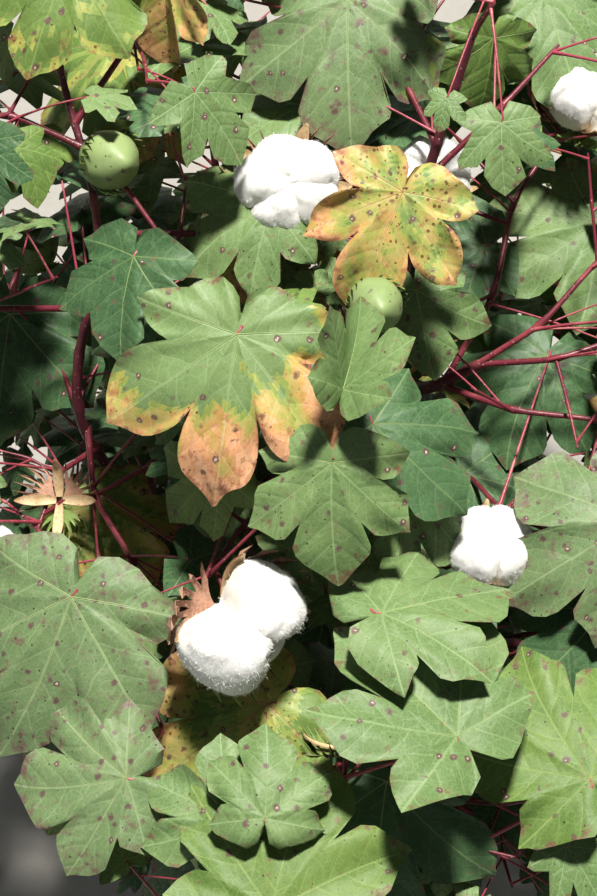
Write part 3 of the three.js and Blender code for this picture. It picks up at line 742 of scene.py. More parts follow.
class Space:
    """What the plant's space already holds: blades, and beads along stems and in bolls."""

    def __init__(self) -> None:
        """Starts empty."""
        self.blades: list[Blade] = []
        self.kept: list[tuple[Point, float]] = []
        self.feet: list[Point] = []
        self.beads = np.zeros((0, 5))
        self.rounds = np.zeros((0, 4))

    def blades_near(self, places: Points, gap: float) -> list[Blade]:
        """The blades whose surrounding ball comes within a gap of any place.

        Args:
            places: The places.
            gap: The gap.

        Returns:
            Those blades.
        """
        if len(self.rounds) != len(self.blades):
            self.rounds = np.array([(*blade.middle, blade.radius) for blade in self.blades])
        far = np.linalg.norm(self.rounds[:, None, :3] - places[None], axis=2)
        return [self.blades[i] for i in np.flatnonzero((far < self.rounds[:, None, 3] + gap).any(axis=1))]

    def add_bead(self, at: Point, radius: float, owner: object) -> None:
        """Marks one round body as a row of its place, radius and owner."""
        self.beads = np.vstack([self.beads, (*at, radius, id(owner) if owner is not None else 0)])

    def add_tube(self, points: Sequence[Point], radius: float, owner: object = None) -> None:
        """Marks the space that a tube takes."""
        for place in (*steps_along(points, False), points[-1]):
            self.add_bead(place, radius, owner)

    def blade_fits(self, blade: Blade) -> bool:
        """True if a blade is in the crown and touches nothing.

        Args:
            blade: The blade.

        Returns:
            Whether there is room for it.
        """
        if not CROWN.holds(blade.samples):
            return False
        for other in self.blades_near(blade.middle[None], blade.radius):
            if other.near(blade.samples, BLADE_GAP).any() or blade.near(other.samples, BLADE_GAP).any():
                return False
        return not blade.near(self.beads[:, :3], self.beads[:, 3] + BEAD_GAP).any()

    def tube_fits(self, points: Sequence[Point], radius: float, foot: float, own: object = None) -> bool:
        """True if a tube touches nothing, apart from what is at its foot and the thing it carries.

        Args:
            points: The tube's line.
            radius: Its radius.
            foot: How far from its first point it may touch what carries it.
            own: The blade or boll that it carries.

        Returns:
            Whether there is room for it.
        """
        places = steps_along(points, True)
        reach = radius + BEAD_GAP
        for blade in self.blades_near(places, reach + BLADE_GAP):
            if blade is not own and blade.near(places, reach).any():
                return False
        middle = (points[0] + points[-1]) / 2
        table = self.beads
        around = np.linalg.norm(places - middle, axis=1).max() + reach
        close = np.linalg.norm(table[:, :3] - middle, axis=1) < table[:, 3] + around
        table = table[close & (table[:, 4] != (id(own) if own is not None else -1))]
        places = places[np.linalg.norm(places - points[0], axis=1) >= foot]
        far = np.linalg.norm(table[:, None, :3] - places[None], axis=2)
        return not (far < table[:, None, 3] + reach).any()

    def shows(self, fruit: Fruit) -> bool:
        """True if a boll is in the onlooker's window with a side that no blade hides.

        Args:
            fruit: The boll.

        Returns:
            Whether the onlooker would see it.
        """
        for x, y in ((0, 0), (1, 0), (-1, 0), (0, 1), (0, -1)):
            place = fruit.at + np.array([x, y, 0]) * (fruit.size * BOLL_SIDE)
            if ONLOOKER.sees(place) and not any(blade.covers(place) for blade in self.blades):
                return True
        return False

    def hides(self, middle: Point, radius: float) -> bool:
        """True if a thing here would hang before a leaf or boll that the plant shows.

        Args:
            middle: The thing's middle.
            radius: The ball round it.

        Returns:
            Whether it would be in the way.
        """
        for shown, size in self.kept:
            way = np.array(ONLOOKER.eye) - shown
            far = math.sqrt(way @ way)
            away = middle - shown
            along = away @ way / far
            if along < BEFORE:
                continue
            aside = math.sqrt(max(0.0, away @ away - along * along))
            if aside < (size + radius) * BESIDE * (1 - along / far):
                return True
        return False


class Growth:
    """The whole plant as lines, blades and bolls, before anything is made of them."""

    def __init__(self) -> None:
        """Grows the limbs, the twigs and what hangs on them."""
        self.twig = TwigRule()
        self.space = Space()
        self.limbs: dict[str, Limb] = {}
        self.sprays: list[tuple[Limb, list[Point]]] = []
        for plan in LIMBS:
            self.limbs[plan.name] = Limb(plan, self.limbs.get(plan.parent))
        for limb in self.limbs.values():
            self.space.add_tube(limb.path, limb.radius(limb.path[2][2]))
        self.grow_twigs()
        self.nodes = self.grow_foliage()

    def zigzag(self, foot: Point, tip: Point, nodes: int) -> list[Point]:
        """The nodes of a twig: a low arch from foot to tip, each node to one side in turn.

        Args:
            foot: Where the twig leaves its limb.
            tip: Its tip.
            nodes: How many nodes it has.

        Returns:
            The foot, then each node.
        """
        across = unit(np.cross(tip - foot, UP))
        points = [foot]
        for k in range(1, nodes + 1):
            share = k / nodes
            side = (1 if k % 2 else -1) * (self.twig.zigzag if k < nodes else 0)
            arch = UP * (self.twig.arch * math.sin(math.pi * share))
            points.append(foot + (tip - foot) * share + across * side + arch)
        return points

    def add_spray(self, limb: Limb, foot: Point, tip: Point, nodes: int) -> None:
        """Adds one twig to a limb.

        Args:
            limb: The limb.
            foot: Where the twig leaves it.
            tip: The twig's tip.
            nodes: How many nodes it has.
        """
        twig = self.zigzag(foot, tip, nodes)
        self.sprays.append((limb, twig))
        self.space.add_tube(twig, self.twig.first)
        self.space.feet.append(foot)

    def grow_twigs(self) -> None:
        """Every spray's twig: those that show, one at each limb's tip, and the rest by rule."""
        for plan in SHOWN_SPRAYS:
            limb = self.limbs[plan.limb]
            foot = limb.path[-1] if plan.height is None else limb.at_height(plan.height)
            self.add_spray(limb, foot, np.array(plan.tip, float), plan.nodes)
        long_limbs = [
            (order, limb) for order, limb in enumerate(self.limbs.values()) if limb.plan.name != SHORT_BOUGH
        ]
        for _, limb in long_limbs:
            reach = self.twig.tip_limb if limb.plan.parent else self.twig.tip_stem
            before, foot = limb.path[-2:]
            self.add_spray(limb, foot, foot + unit(foot - before) * reach, self.twig.tip_nodes)
        for order, limb in long_limbs:
            self.grow_rule_twigs(limb, order)

    def grow_rule_twigs(self, limb: Limb, order: int) -> None:
        """Twigs that leave a limb outward, to its left and right in turn, shorter towards the top.

        Args:
            limb: The limb.
            order: Its place in the plan.
        """
        rule, dice = self.twig, Dice(order + TWIG_SEED)
        top = limb.path[-1][2]
        side = 1 if order % 2 else -1
        height = rule.lowest
        feet = self.space.feet
        while height < top - rule.top_gap:
            while any(np.linalg.norm(foot - limb.at_height(height)) < rule.apart for foot in feet):
                height += rule.shift
            foot = limb.at_height(height)
            reach = between(rule.reach_low, rule.reach_top, height / top)
            reach *= between(*rule.reach_share, dice.roll())
            outward = heading_of(foot - np.array(CROWN.centre))
            first = outward if limb.plan.parent else order * rule.limb_turn + height * rule.height_turn
            first += side * rule.fan * between(*rule.fan_share, dice.roll())
            for swing in rule.swings:
                tip = foot + (direction(first + swing * side, 0) + UP * rule.rise) * reach
                nodes = max(2, math.floor(reach / rule.node_every + 0.5))
                twig = self.zigzag(foot, tip, nodes)
                if CROWN.holds(tip[None]) and self.space.tube_fits(twig, rule.first, FOOT):
                    self.add_spray(limb, foot, tip, nodes)
                    break
            side = -side
            height += rule.step

    def carrier(
        self, head: Point, load: Callable[[Node], int], tube: Callable[[Node], list[Point]], own: object
    ) -> Node:
        """The node that carries a shown thing: the nearest one that its stalk can reach, if any can.

        Args:
            head: Where the thing hangs.
            load: How many such things a node already has.
            tube: The stalk that would reach it from a node.
            own: The thing.

        Returns:
            The best node.
        """

        def cost(node: Node) -> float:
            """How ill a node suits the thing.

            Args:
                node: The node.

            Returns:
                The cost in millimetres.
            """
            steep = max(0.0, node.at[2] - head[2] + STEEP_FROM) * STEEP
            free = self.space.tube_fits(tube(node), STALK_FOOT, FOOT, own)
            return np.linalg.norm(node.at - head) + steep + LADEN * load(node) + (0 if free else BLOCKED)

        return min(self.nodes, key=cost)

    def add_leaf(self, node: Node, blade: Blade) -> None:
        """Hangs a leaf on a node and marks the space that its stalk takes."""
        node.leaves.append((blade, leaf_stalk(node, blade)))
        self.space.add_tube(node.leaves[-1][1], STALK_FOOT, blade)

    def add_fruit(self, node: Node, fruit: Fruit) -> None:
        """Hangs a boll on a node and marks the space that its stalk takes."""
        node.fruits.append((fruit, peduncle(fruit, node)))
        self.space.add_tube(node.fruits[-1][1], PEDUNCLE_BOLL, fruit)

    def grow_foliage(self) -> list[Node]:
        """All leaves and bolls: the shown ones first, then leaves and bolls by rule on free nodes.

        Returns:
            The nodes with what hangs on them.
        """
        self.nodes = []
        for order, (_, twig) in enumerate(self.sprays):
            heading = heading_of(twig[-1] - twig[0])
            for k, (before, at) in enumerate(zip(twig, twig[1:])):
                self.nodes.append(Node(at, before, heading, k, order * 16 + k))
        blades = []
        for plan in SHOWN_LEAVES:
            blade = Blade(np.array(plan.at), plan.heading, plan.droop, plan.roll, plan.width, FINE_RIM)
            blade.look = plan.look
            blades.append(blade)
        fruits = []
        for shown in SHOWN_BOLLS:
            faces = unit(np.array(shown.faces, float))
            at = np.array(shown.at, float)
            fruits.append(Fruit(shown.kind, at, faces, shown.size, shown.locks, shown.fill))
        self.space.blades += blades
        self.space.kept += [(blade.middle, blade.radius) for blade in blades]
        for fruit in fruits:
            self.space.add_bead(fruit.at, fruit.size * BOLL_BEAD, fruit)
            self.space.kept.append((fruit.at, fruit.size * BOLL_KEPT))
        for fruit in fruits:
            node = self.carrier(fruit.at, lambda node: len(node.fruits), partial(peduncle, fruit), fruit)
            self.add_fruit(node, fruit)
        for blade in blades:
            stalk = partial(leaf_stalk, blade=blade)
            node = self.carrier(blade.head, lambda node: len(node.leaves), stalk, blade)
            self.add_leaf(node, blade)
        for node in self.nodes:
            if not node.leaves:
                self.add_rule_leaf(node, LeafRule(), Dice(node.seed + LEAF_SEED), PLAIN_RIM)
        for node in self.nodes:
            if not node.fruits:
                self.add_rule_fruit(node)
        return self.nodes

    def add_rule_fruit(self, node: Node) -> None:
        """Hangs a boll on a node where chance and room allow one.

        Args:
            node: The node.
        """
        rule, dice = BollRule(), Dice(node.seed + FRUIT_SEED)
        share, chance, size, turn = (dice.roll() for _ in range(4))
        if share > rule.share:
            return
        kind = Kind.OPEN if chance < rule.open else Kind.GREEN if chance < rule.green else Kind.BUR
        span = rule.open_size if kind is Kind.OPEN else rule.green_size
        half = span[0] + span[1] * size
        first = node.heading + (-1 if node.k % 2 else 1) * between(*rule.aside, turn)
        for k in range(rule.tries):
            faces = direction(first + rule.swing * k, rule.slopes[k % 3])
            fruit = Fruit(kind, node.at + faces * (rule.stalk + half), faces, half)
            if self.fruit_fits(fruit, node):
                self.space.add_bead(fruit.at, half * BOLL_BEAD, fruit)
                self.add_fruit(node, fruit)
                return

    def fruit_fits(self, fruit: Fruit, node: Node) -> bool:
        """True if a boll made by rule has room and hides nothing that the plant shows.

        Args:
            fruit: The boll.
            node: Its node.

        Returns:
            Whether it may grow there.
        """
        at, half = fruit.at, fruit.size
        if not CROWN.holds(at[None]) or (fruit.kind is Kind.OPEN and self.space.shows(fruit)):
            return False
        if self.space.hides(at, half):
            return False
        gap = half + BEAD_GAP
        close = self.space.blades_near(at[None], gap + BLADE_GAP)
        if any(blade.near(at[None], gap).any() for blade in close):
            return False
        table = self.space.beads
        if (np.linalg.norm(table[:, :3] - at, axis=1) < table[:, 3] + gap).any():
            return False
        return self.space.tube_fits(peduncle(fruit, node), PEDUNCLE_BOLL, FOOT / 2, fruit)

    def add_rule_leaf(self, node: Node, rule: LeafRule, dice: Dice, turns: Sequence[float]) -> Blade | None:
        """Hangs a leaf on a node where there is room for one.

        Args:
            node: The node.
            rule: The leaf's sizes.
            dice: The source of its chances.
            turns: The turns of the rim at which the blade is tested.

        Returns:
            The blade, or None where none fits.
        """
        side = 1 if node.k % 2 else -1
        for k in range(rule.tries):
            heading = node.heading + side * dice.pick(rule.aside) + rule.swing * k
            reach = direction(heading, dice.pick(rule.rise))
            head = node.at + reach * dice.pick(rule.stalk)
            turned = heading + rule.twist * (dice.roll() - 0.5)
            droop = dice.pick(rule.droop)
            roll = rule.roll * (2 * dice.roll() - 1)
            width = dice.pick(rule.width) * (1 - rule.shrink * k)
            blade = Blade(head, turned, droop, roll, width, turns)
            if self.space.hides(blade.middle, blade.radius) or not self.space.blade_fits(blade):
                continue
            if not self.space.tube_fits(leaf_stalk(node, blade), STALK_FOOT, FOOT, blade):
                continue
            self.space.blades.append(blade)
            self.add_leaf(node, blade)
            return blade
        return None


@dataclass(frozen=True)
class FinerRule:
    """How the rule goes on inside the same crown: side twigs at the nodes, and leaves along the limbs."""

    tries: int = 7
    aside: tuple[float, float] = (38, 50)
    rise: tuple[float, float] = (-4, 44)
    reach: tuple[float, float] = (46, 44)
    bend: float = 5
    swing: float = 40
    middle: float = 0.52
    clear: float = 12
    radius: float = 1.5
    limb_seeds: tuple[int, int] = (20000, 500)
    limb_foot: float = 30
    limb_end: float = 12
    limb_lowest: float = 128
    limb_step: float = 15
    limb_turn: float = 137.5
    leaf: LeafRule = LeafRule(10, (22, 60), (6, 50), (24, 34), (4, 38), 22, (58, 36))
    limb_leaf: LeafRule = LeafRule(12, (0, 90), (-6, 44), (56, 80), (4, 34), 20, (80, 46))
    stem_half: float = 6
    shade_leaves: int = 4
    shade_seeds: tuple[int, int] = (40000, 3000)
    shade_turn: float = 95
    shade_leaf: LeafRule = LeafRule(16, (0, 180), (-42, 66), (34, 80), (2, 30), 16, (74, 46))


class FinerGrowth:
    """Side twigs and smaller leaves that fill the plant between its sprays."""

    def __init__(self, growth: Growth, rule: FinerRule = FinerRule()) -> None:
        """Grows on from the plant's nodes and limbs.

        Args:
            growth: The plant so far.
            rule: The finer growth's sizes.
        """
        self.growth = growth
        self.rule = rule
        self.twigs: list[list[Point]] = []
        self.nodes: list[Node] = []
        stems = [*growth.limbs["left_limb"].path[3:], *growth.limbs["right_limb"].path]
        for _, twig in growth.sprays[: len(SHOWN_SPRAYS)]:
            stems += twig
        growth.space.kept += [(place, rule.stem_half) for place in stems]
        for node in growth.nodes:
            dice = Dice(node.seed + SIDE_SEED)
            for side in (1, -1):
                self.add_side_twig(node, side, dice)
        for order, limb in enumerate(growth.limbs.values()):
            self.add_limb_nodes(limb, rule.limb_seeds[0] + rule.limb_seeds[1] * order)
        for turn in range(rule.shade_leaves):
            for node in growth.nodes:
                seed = node.seed + rule.shade_seeds[0] + rule.shade_seeds[1] * turn
                heading = node.heading + 180 - rule.shade_turn * turn
                lower = Node(node.at, node.before, heading, node.k, seed)
                if growth.add_rule_leaf(lower, rule.shade_leaf, Dice(seed + LEAF_SEED), PLAIN_RIM):
                    self.nodes.append(lower)

    def add_side_twig(self, node: Node, side: int, dice: Dice) -> None:
        """A short twig of two nodes beside a node, where it has room, with a leaf on each node.

        Args:
            node: The node.
            side: 1 or -1 for its two sides.
            dice: The source of its chances.
        """
        rule, space = self.rule, self.growth.space
        for k in range(rule.tries):
            heading = node.heading + side * (dice.pick(rule.aside) + rule.swing * k)
            way = direction(heading, dice.pick(rule.rise)) * dice.pick(rule.reach)
            bend = direction(heading + 90, 0) * (rule.bend * (2 * dice.roll() - 1))
            twig = [node.at, node.at + way * rule.middle + bend, node.at + way]
            if not CROWN.holds(np.array(twig)) or space.hides(twig[-1], rule.clear):
                continue
            if not space.tube_fits(twig, rule.radius, FOOT / 2):
                continue
            space.add_tube(twig, rule.radius)
            added = []
            for i, (before, at) in enumerate(zip(twig, twig[1:])):
                fine = Node(at, before, heading, i, node.seed + 5000 * (side + 2) + i)
                if self.growth.add_rule_leaf(fine, rule.leaf, Dice(fine.seed + LEAF_SEED), PLAIN_RIM):
                    added.append(fine)
            if added:
                self.twigs.append(twig if added[-1].at is twig[-1] else twig[:2])
                self.nodes += added
            return

    def add_limb_nodes(self, limb: Limb, seed: int) -> None:
        """Leaves that stand on a limb itself, each turned on from the one below it.

        Args:
            limb: The limb.
            seed: The first leaf's seed.
        """
        rule = self.rule
        height = max(rule.limb_lowest, limb.ends[0] + rule.limb_foot)
        k = 0
        while height < limb.ends[1] - rule.limb_end:
            at = limb.at_height(height)
            way = direction(rule.limb_turn * k, 0)
            node = Node(at, at - way, rule.limb_turn * k, k, seed + k)
            if self.growth.add_rule_leaf(node, rule.limb_leaf, Dice(node.seed + LEAF_SEED), PLAIN_RIM):
                self.nodes.append(node)
            k += 1
            height += rule.limb_step


# Forms and pieces


class Form:
    """A small mesh that is placed many times by moving its vertices."""

    def __init__(self, shape: bmesh.types.BMesh) -> None:
        """Keeps the mesh and reads where it rests.

        Args:
            shape: The mesh, which is used up.
        """
        self.mesh = bpy.data.meshes.new("form")
        shape.to_mesh(self.mesh)
        shape.free()
        self.rest = np.array([vert.co for vert in self.mesh.vertices])
        self.centres = np.array([face.center for face in self.mesh.polygons])
        self.facing = np.array([face.normal for face in self.mesh.polygons])
        self.slots = np.array([face.material_index for face in self.mesh.polygons], np.int32)
        self.marks = self.rest


class Pile:
    """Placed forms, joined into one piece."""

    def __init__(self, name: str, finishes: Sequence[bpy.types.Material]) -> None:
        """Starts an empty piece with its finishes.

        Args:
            name: The piece's name.
            finishes: Its finishes, by slot.
        """
        self.name = name
        self.finishes = finishes
        self.shape = bmesh.new()
        self.marks: list[Points] = []

    def add(self, form: Form, places: Points, slots: np.ndarray | None = None) -> None:
        """Adds a form with its vertices at places in millimetres and its faces in these slots.

        Args:
            form: The form.
            places: Its vertices' places in millimetres.
            slots: Its faces' slots, if not the form's own.
        """
        form.mesh.vertices.foreach_set("co", (places * MM).astype(np.float32).ravel())
        faces = form.slots if slots is None else slots.astype(np.int32)
        form.mesh.polygons.foreach_set("material_index", faces)
        self.shape.from_mesh(form.mesh)
        self.marks.append(form.marks)

    def finish(self, slot: str, nodes: Sequence[str] = (), crease: float = 50) -> None:
        """Makes the piece and lets it ride.

        Args:
            slot: The record's material slot; not used.
            nodes: The solids that it stands for.
            crease: Edges sharper than this, in degrees, stay sharp.
        """
        mesh = bpy.data.meshes.new(self.name)
        self.shape.to_mesh(mesh)
        self.shape.free()
        marks = mesh.attributes.new(MARKS, "FLOAT_VECTOR", "POINT")
        marks.data.foreach_set("vector", np.vstack(self.marks).astype(np.float32).ravel())
        mesh.polygons.foreach_set("use_smooth", np.ones(len(mesh.polygons), bool))
        mesh.set_sharp_from_angle(angle=crease * TURN)
        for finish in self.finishes:
            mesh.materials.append(finish)
        piece = bpy.data.objects.new(self.name, mesh)
        bpy.context.scene.collection.objects.link(piece)
        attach(piece, "root")
        if nodes:
            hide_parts(*nodes)
        count = sum(len(face.vertices) - 2 for face in mesh.polygons)
        LOG.info("%s: %d triangles", self.name, count)


def tube_form(sides: int, rings: int) -> Form:
    """A closed tube round Z whose rings are one apart, to be swept along a path.

    Args:
        sides: Its sides.
        rings: How many steps it has.

    Returns:
        The form.
    """
    shape = bmesh.new()
    bmesh.ops.create_circle(shape, segments=sides, radius=1)
    loop = shape.edges[:]
    for _ in range(rings):
        made = bmesh.ops.extrude_edge_only(shape, edges=loop)["geom"]
        verts = {item for item in made if isinstance(item, bmesh.types.BMVert)}
        bmesh.ops.translate(shape, vec=(0, 0, 1), verts=list(verts))
        loop = [e for e in made if isinstance(e, bmesh.types.BMEdge) and set(e.verts) <= verts]
    ends = [edge for edge in shape.edges if edge.is_boundary]
    bmesh.ops.holes_fill(shape, edges=ends, sides=0)
    bmesh.ops.recalc_face_normals(shape, faces=shape.faces[:])
    return Form(shape)


def sheet_form(columns: int, rows: int) -> Form:
    """A closed sheet: -1 to 1 across, 0 to 1 along, and its two sides at 1 and -1.

    Args:
        columns: Its faces across.
        rows: Its faces along.

    Returns:
        The form.
    """
    shape = bmesh.new()
    bmesh.ops.create_grid(shape, x_segments=columns, y_segments=rows, size=1)
    bmesh.ops.translate(shape, vec=(0, 1, 1), verts=shape.verts[:])
    bmesh.ops.scale(shape, vec=(1, 0.5, 1), verts=shape.verts[:])
    bmesh.ops.solidify(shape, geom=shape.faces[:], thickness=2)
    low = min(vert.co.z for vert in shape.verts)
    bmesh.ops.translate(shape, vec=(0, 0, -1 - low), verts=shape.verts[:])
    bmesh.ops.recalc_face_normals(shape, faces=shape.faces[:])
    return Form(shape)


def ball_form(fineness: int) -> Form:
    """A ball of small triangles with a radius of one.

    Args:
        fineness: How often its faces are cut in four.

    Returns:
        The form.
    """
    shape = bmesh.new()
    bmesh.ops.create_icosphere(shape, subdivisions=fineness, radius=1)
    return Form(shape)


def in_order(shape: bmesh.types.BMesh) -> None:
    """Sorts a mesh by place, as the operators' own order changes from run to run.

    Args:
        shape: The mesh.
    """
    for k, vert in enumerate(sorted(shape.verts, key=lambda vert: tuple(vert.co))):
        vert.index = k
    for k, face in enumerate(sorted(shape.faces, key=lambda face: tuple(face.calc_center_median()))):
        face.index = k
    shape.verts.sort()
    shape.faces.sort()


def swept(form: Form, path: Points, radii: np.ndarray) -> Points:
    """Where a tube form's vertices stand along a path, whose rings turn as little as they can.

    Args:
        form: The tube, with one ring for each point.
        path: The points.
        radii: The tube's radius at each point.

    Returns:
        The vertices' places.
    """
    ways = np.gradient(path, axis=0)
    ways /= np.linalg.norm(ways, axis=1)[:, None]
    side = np.array([1.0, 0, 0]) if abs(ways[0][0]) < 0.9 else np.array([0, 1.0, 0])
    sides = []
    for way in ways:
        side = unit(side - way * (side @ way))
        sides.append(side)
    sides = np.array(sides)
    overs = np.cross(ways, sides)
    ring = np.rint(form.rest[:, 2]).astype(int)
    x, y = form.rest[:, 0:1], form.rest[:, 1:2]
    return path[ring] + radii[ring][:, None] * (x * sides[ring] + y * overs[ring])


def draped(form: Form, surface: Callable[[np.ndarray, np.ndarray], Points], half: float) -> Points:
    """Where a sheet form's vertices stand on a surface.

    Args:
        form: The sheet.
        surface: The surface's place for values across and along.
        half: Half the sheet's thickness.

    Returns:
        The vertices' places.
    """
    across, along, side = form.rest.T
    step = 1e-3
    at = surface(across, along)
    way = np.cross(surface(across + step, along) - at, surface(across, along + step) - at)
    size = np.linalg.norm(way, axis=1)
    way /= np.where(size > 1e-9, size, 1)[:, None]
    return at + way * (side * half)[:, None]


# Shaders


class Term:
    """A value or colour in a material, for arithmetic in plain expressions."""

    def __init__(self, recipe: Recipe, socket: bpy.types.NodeSocket) -> None:
        """Wraps a socket."""
        self.recipe = recipe
        self.socket = socket

    def maths(self, operation: str, *others: Term | float) -> Term:
        """A Math node on this value and others."""
        return self.recipe.node("ShaderNodeMath", {"operation": operation}, dict(enumerate((self, *others))))

    def __add__(self, other: Term | float) -> Term:
        """The sum."""
        return self.maths("ADD", other)

    __radd__ = __add__

    def __sub__(self, other: Term | float) -> Term:
        """The difference."""
        return self.maths("SUBTRACT", other)

    def __rsub__(self, other: float) -> Term:
        """The difference from a number."""
        return self.maths("MULTIPLY_ADD", -1.0, other)

    def __mul__(self, other: Term | float) -> Term:
        """The product."""
        return self.maths("MULTIPLY", other)

    __rmul__ = __mul__

    def __lt__(self, other: Term | float) -> Term:
        """1 where this is less."""
        return self.maths("LESS_THAN", other)

    def __gt__(self, other: Term | float) -> Term:
        """1 where this is more."""
        return self.maths("GREATER_THAN", other)

    def size(self) -> Term:
        """The value without its sign."""
        return self.maths("ABSOLUTE")

    def folded(self, span: float) -> Term:
        """Up to a span and down again, over and over."""
        return self.maths("PINGPONG", span)

    def rising(self, low: float, high: float) -> Term:
        """From 0 at the low value to 1 at the high one, softly."""
        settings = {"interpolation_type": "SMOOTHSTEP"}
        return self.recipe.node("ShaderNodeMapRange", settings, {0: self, 1: low, 2: high})


class Recipe:
    """A material's node tree while it is built."""

    def __init__(self, name: str) -> None:
        """Starts a material with a Principled BSDF.

        Args:
            name: The material's name.
        """
        self.material = bpy.data.materials.new(name)
        self.material.use_nodes = True
        self.tree = self.material.node_tree
        self.surface = self.tree.nodes["Principled BSDF"]
        self.place = self.node("ShaderNodeTexCoord", output="Object")

    def node(
        self,
        kind: str,
        settings: dict[str, object] | None = None,
        inputs: dict[str | int, object] | None = None,
        output: str | int = 0,
    ) -> Term:
        """Adds a node.

        Args:
            kind: The node's type.
            settings: Its settings, which are set first.
            inputs: A value or a term for each named or numbered socket.
            output: The output that is wanted.

        Returns:
            That output.
        """
        node = self.tree.nodes.new(kind)
        for name, value in (settings or {}).items():
            setattr(node, name, value)
        self.feed(node, inputs or {})
        return Term(self, node.outputs[output])

    def feed(self, node: bpy.types.Node, inputs: dict[str | int, object]) -> None:
        """Sets or links a node's sockets.

        Args:
            node: The node.
            inputs: A value or a term for each socket.
        """
        for name, value in inputs.items():
            if isinstance(value, Term):
                self.tree.links.new(value.socket, node.inputs[name])
            else:
                node.inputs[name].default_value = value

    def noise(
        self, scale: float, detail: float = 3, roughness: float = 0.5, place: Term | None = None
    ) -> Term:
        """Noise of so many features a metre."""
        inputs = {"Vector": place or self.place, "Scale": scale, "Detail": detail, "Roughness": roughness}
        return self.node("ShaderNodeTexNoise", {}, inputs)

    def cells(self, scale: float, feature: str = "F1", place: Term | None = None) -> Term:
        """Voronoi cells, so many a metre."""
        inputs = {"Vector": place or self.place, "Scale": scale}
        return self.node("ShaderNodeTexVoronoi", {"feature": feature}, inputs, "Distance")

    def dots(self, scale: float, place: Term | None = None) -> tuple[Term, Term]:
        """Voronoi cells as dots.

        Args:
            scale: How many cells there are in a metre.
            place: Where they are looked up.

        Returns:
            How far a place is from its cell's middle, and the cell's chance number.
        """
        far = self.cells(scale, place=place)
        colour = Term(self, far.socket.node.outputs["Color"])
        return far, self.node("ShaderNodeSeparateColor", {}, {0: colour})

    def parts(self, vector: Term) -> tuple[Term, Term, Term]:
        """The three parts of a vector."""
        split = self.node("ShaderNodeSeparateXYZ", {}, {0: vector})
        return split, *(Term(self, split.socket.node.outputs[k]) for k in (1, 2))

    def bent(self, scale: float, by: float) -> Term:
        """The place, moved about by noise."""
        inputs = {0: self.noise(scale, 2), 1: (by,) * 3, 2: self.place}
        return self.node("ShaderNodeVectorMath", {"operation": "MULTIPLY_ADD"}, inputs)

    def mix(self, under: Term | str, over: Term | str, share: Term | float) -> Term:
        """A colour over another by a share, each a term or a screen colour."""
        under, over = (linear(side) if isinstance(side, str) else side for side in (under, over))
        return self.node("ShaderNodeMix", {"data_type": "RGBA"}, {0: share, 6: under, 7: over}, 2)

    def bump(self, height: Term, strength: float, depth: float) -> Term:
        """A normal from a height, with its depth in metres."""
        inputs = {"Height": height, "Strength": strength, "Distance": depth}
        return self.node("ShaderNodeBump", {}, inputs)

    def done(self, **inputs: object) -> bpy.types.Material:
        """Sets the shader's sockets, named with underscores for spaces, and gives the material."""
        self.feed(self.surface, {name.replace("_", " "): value for name, value in inputs.items()})
        return self.material


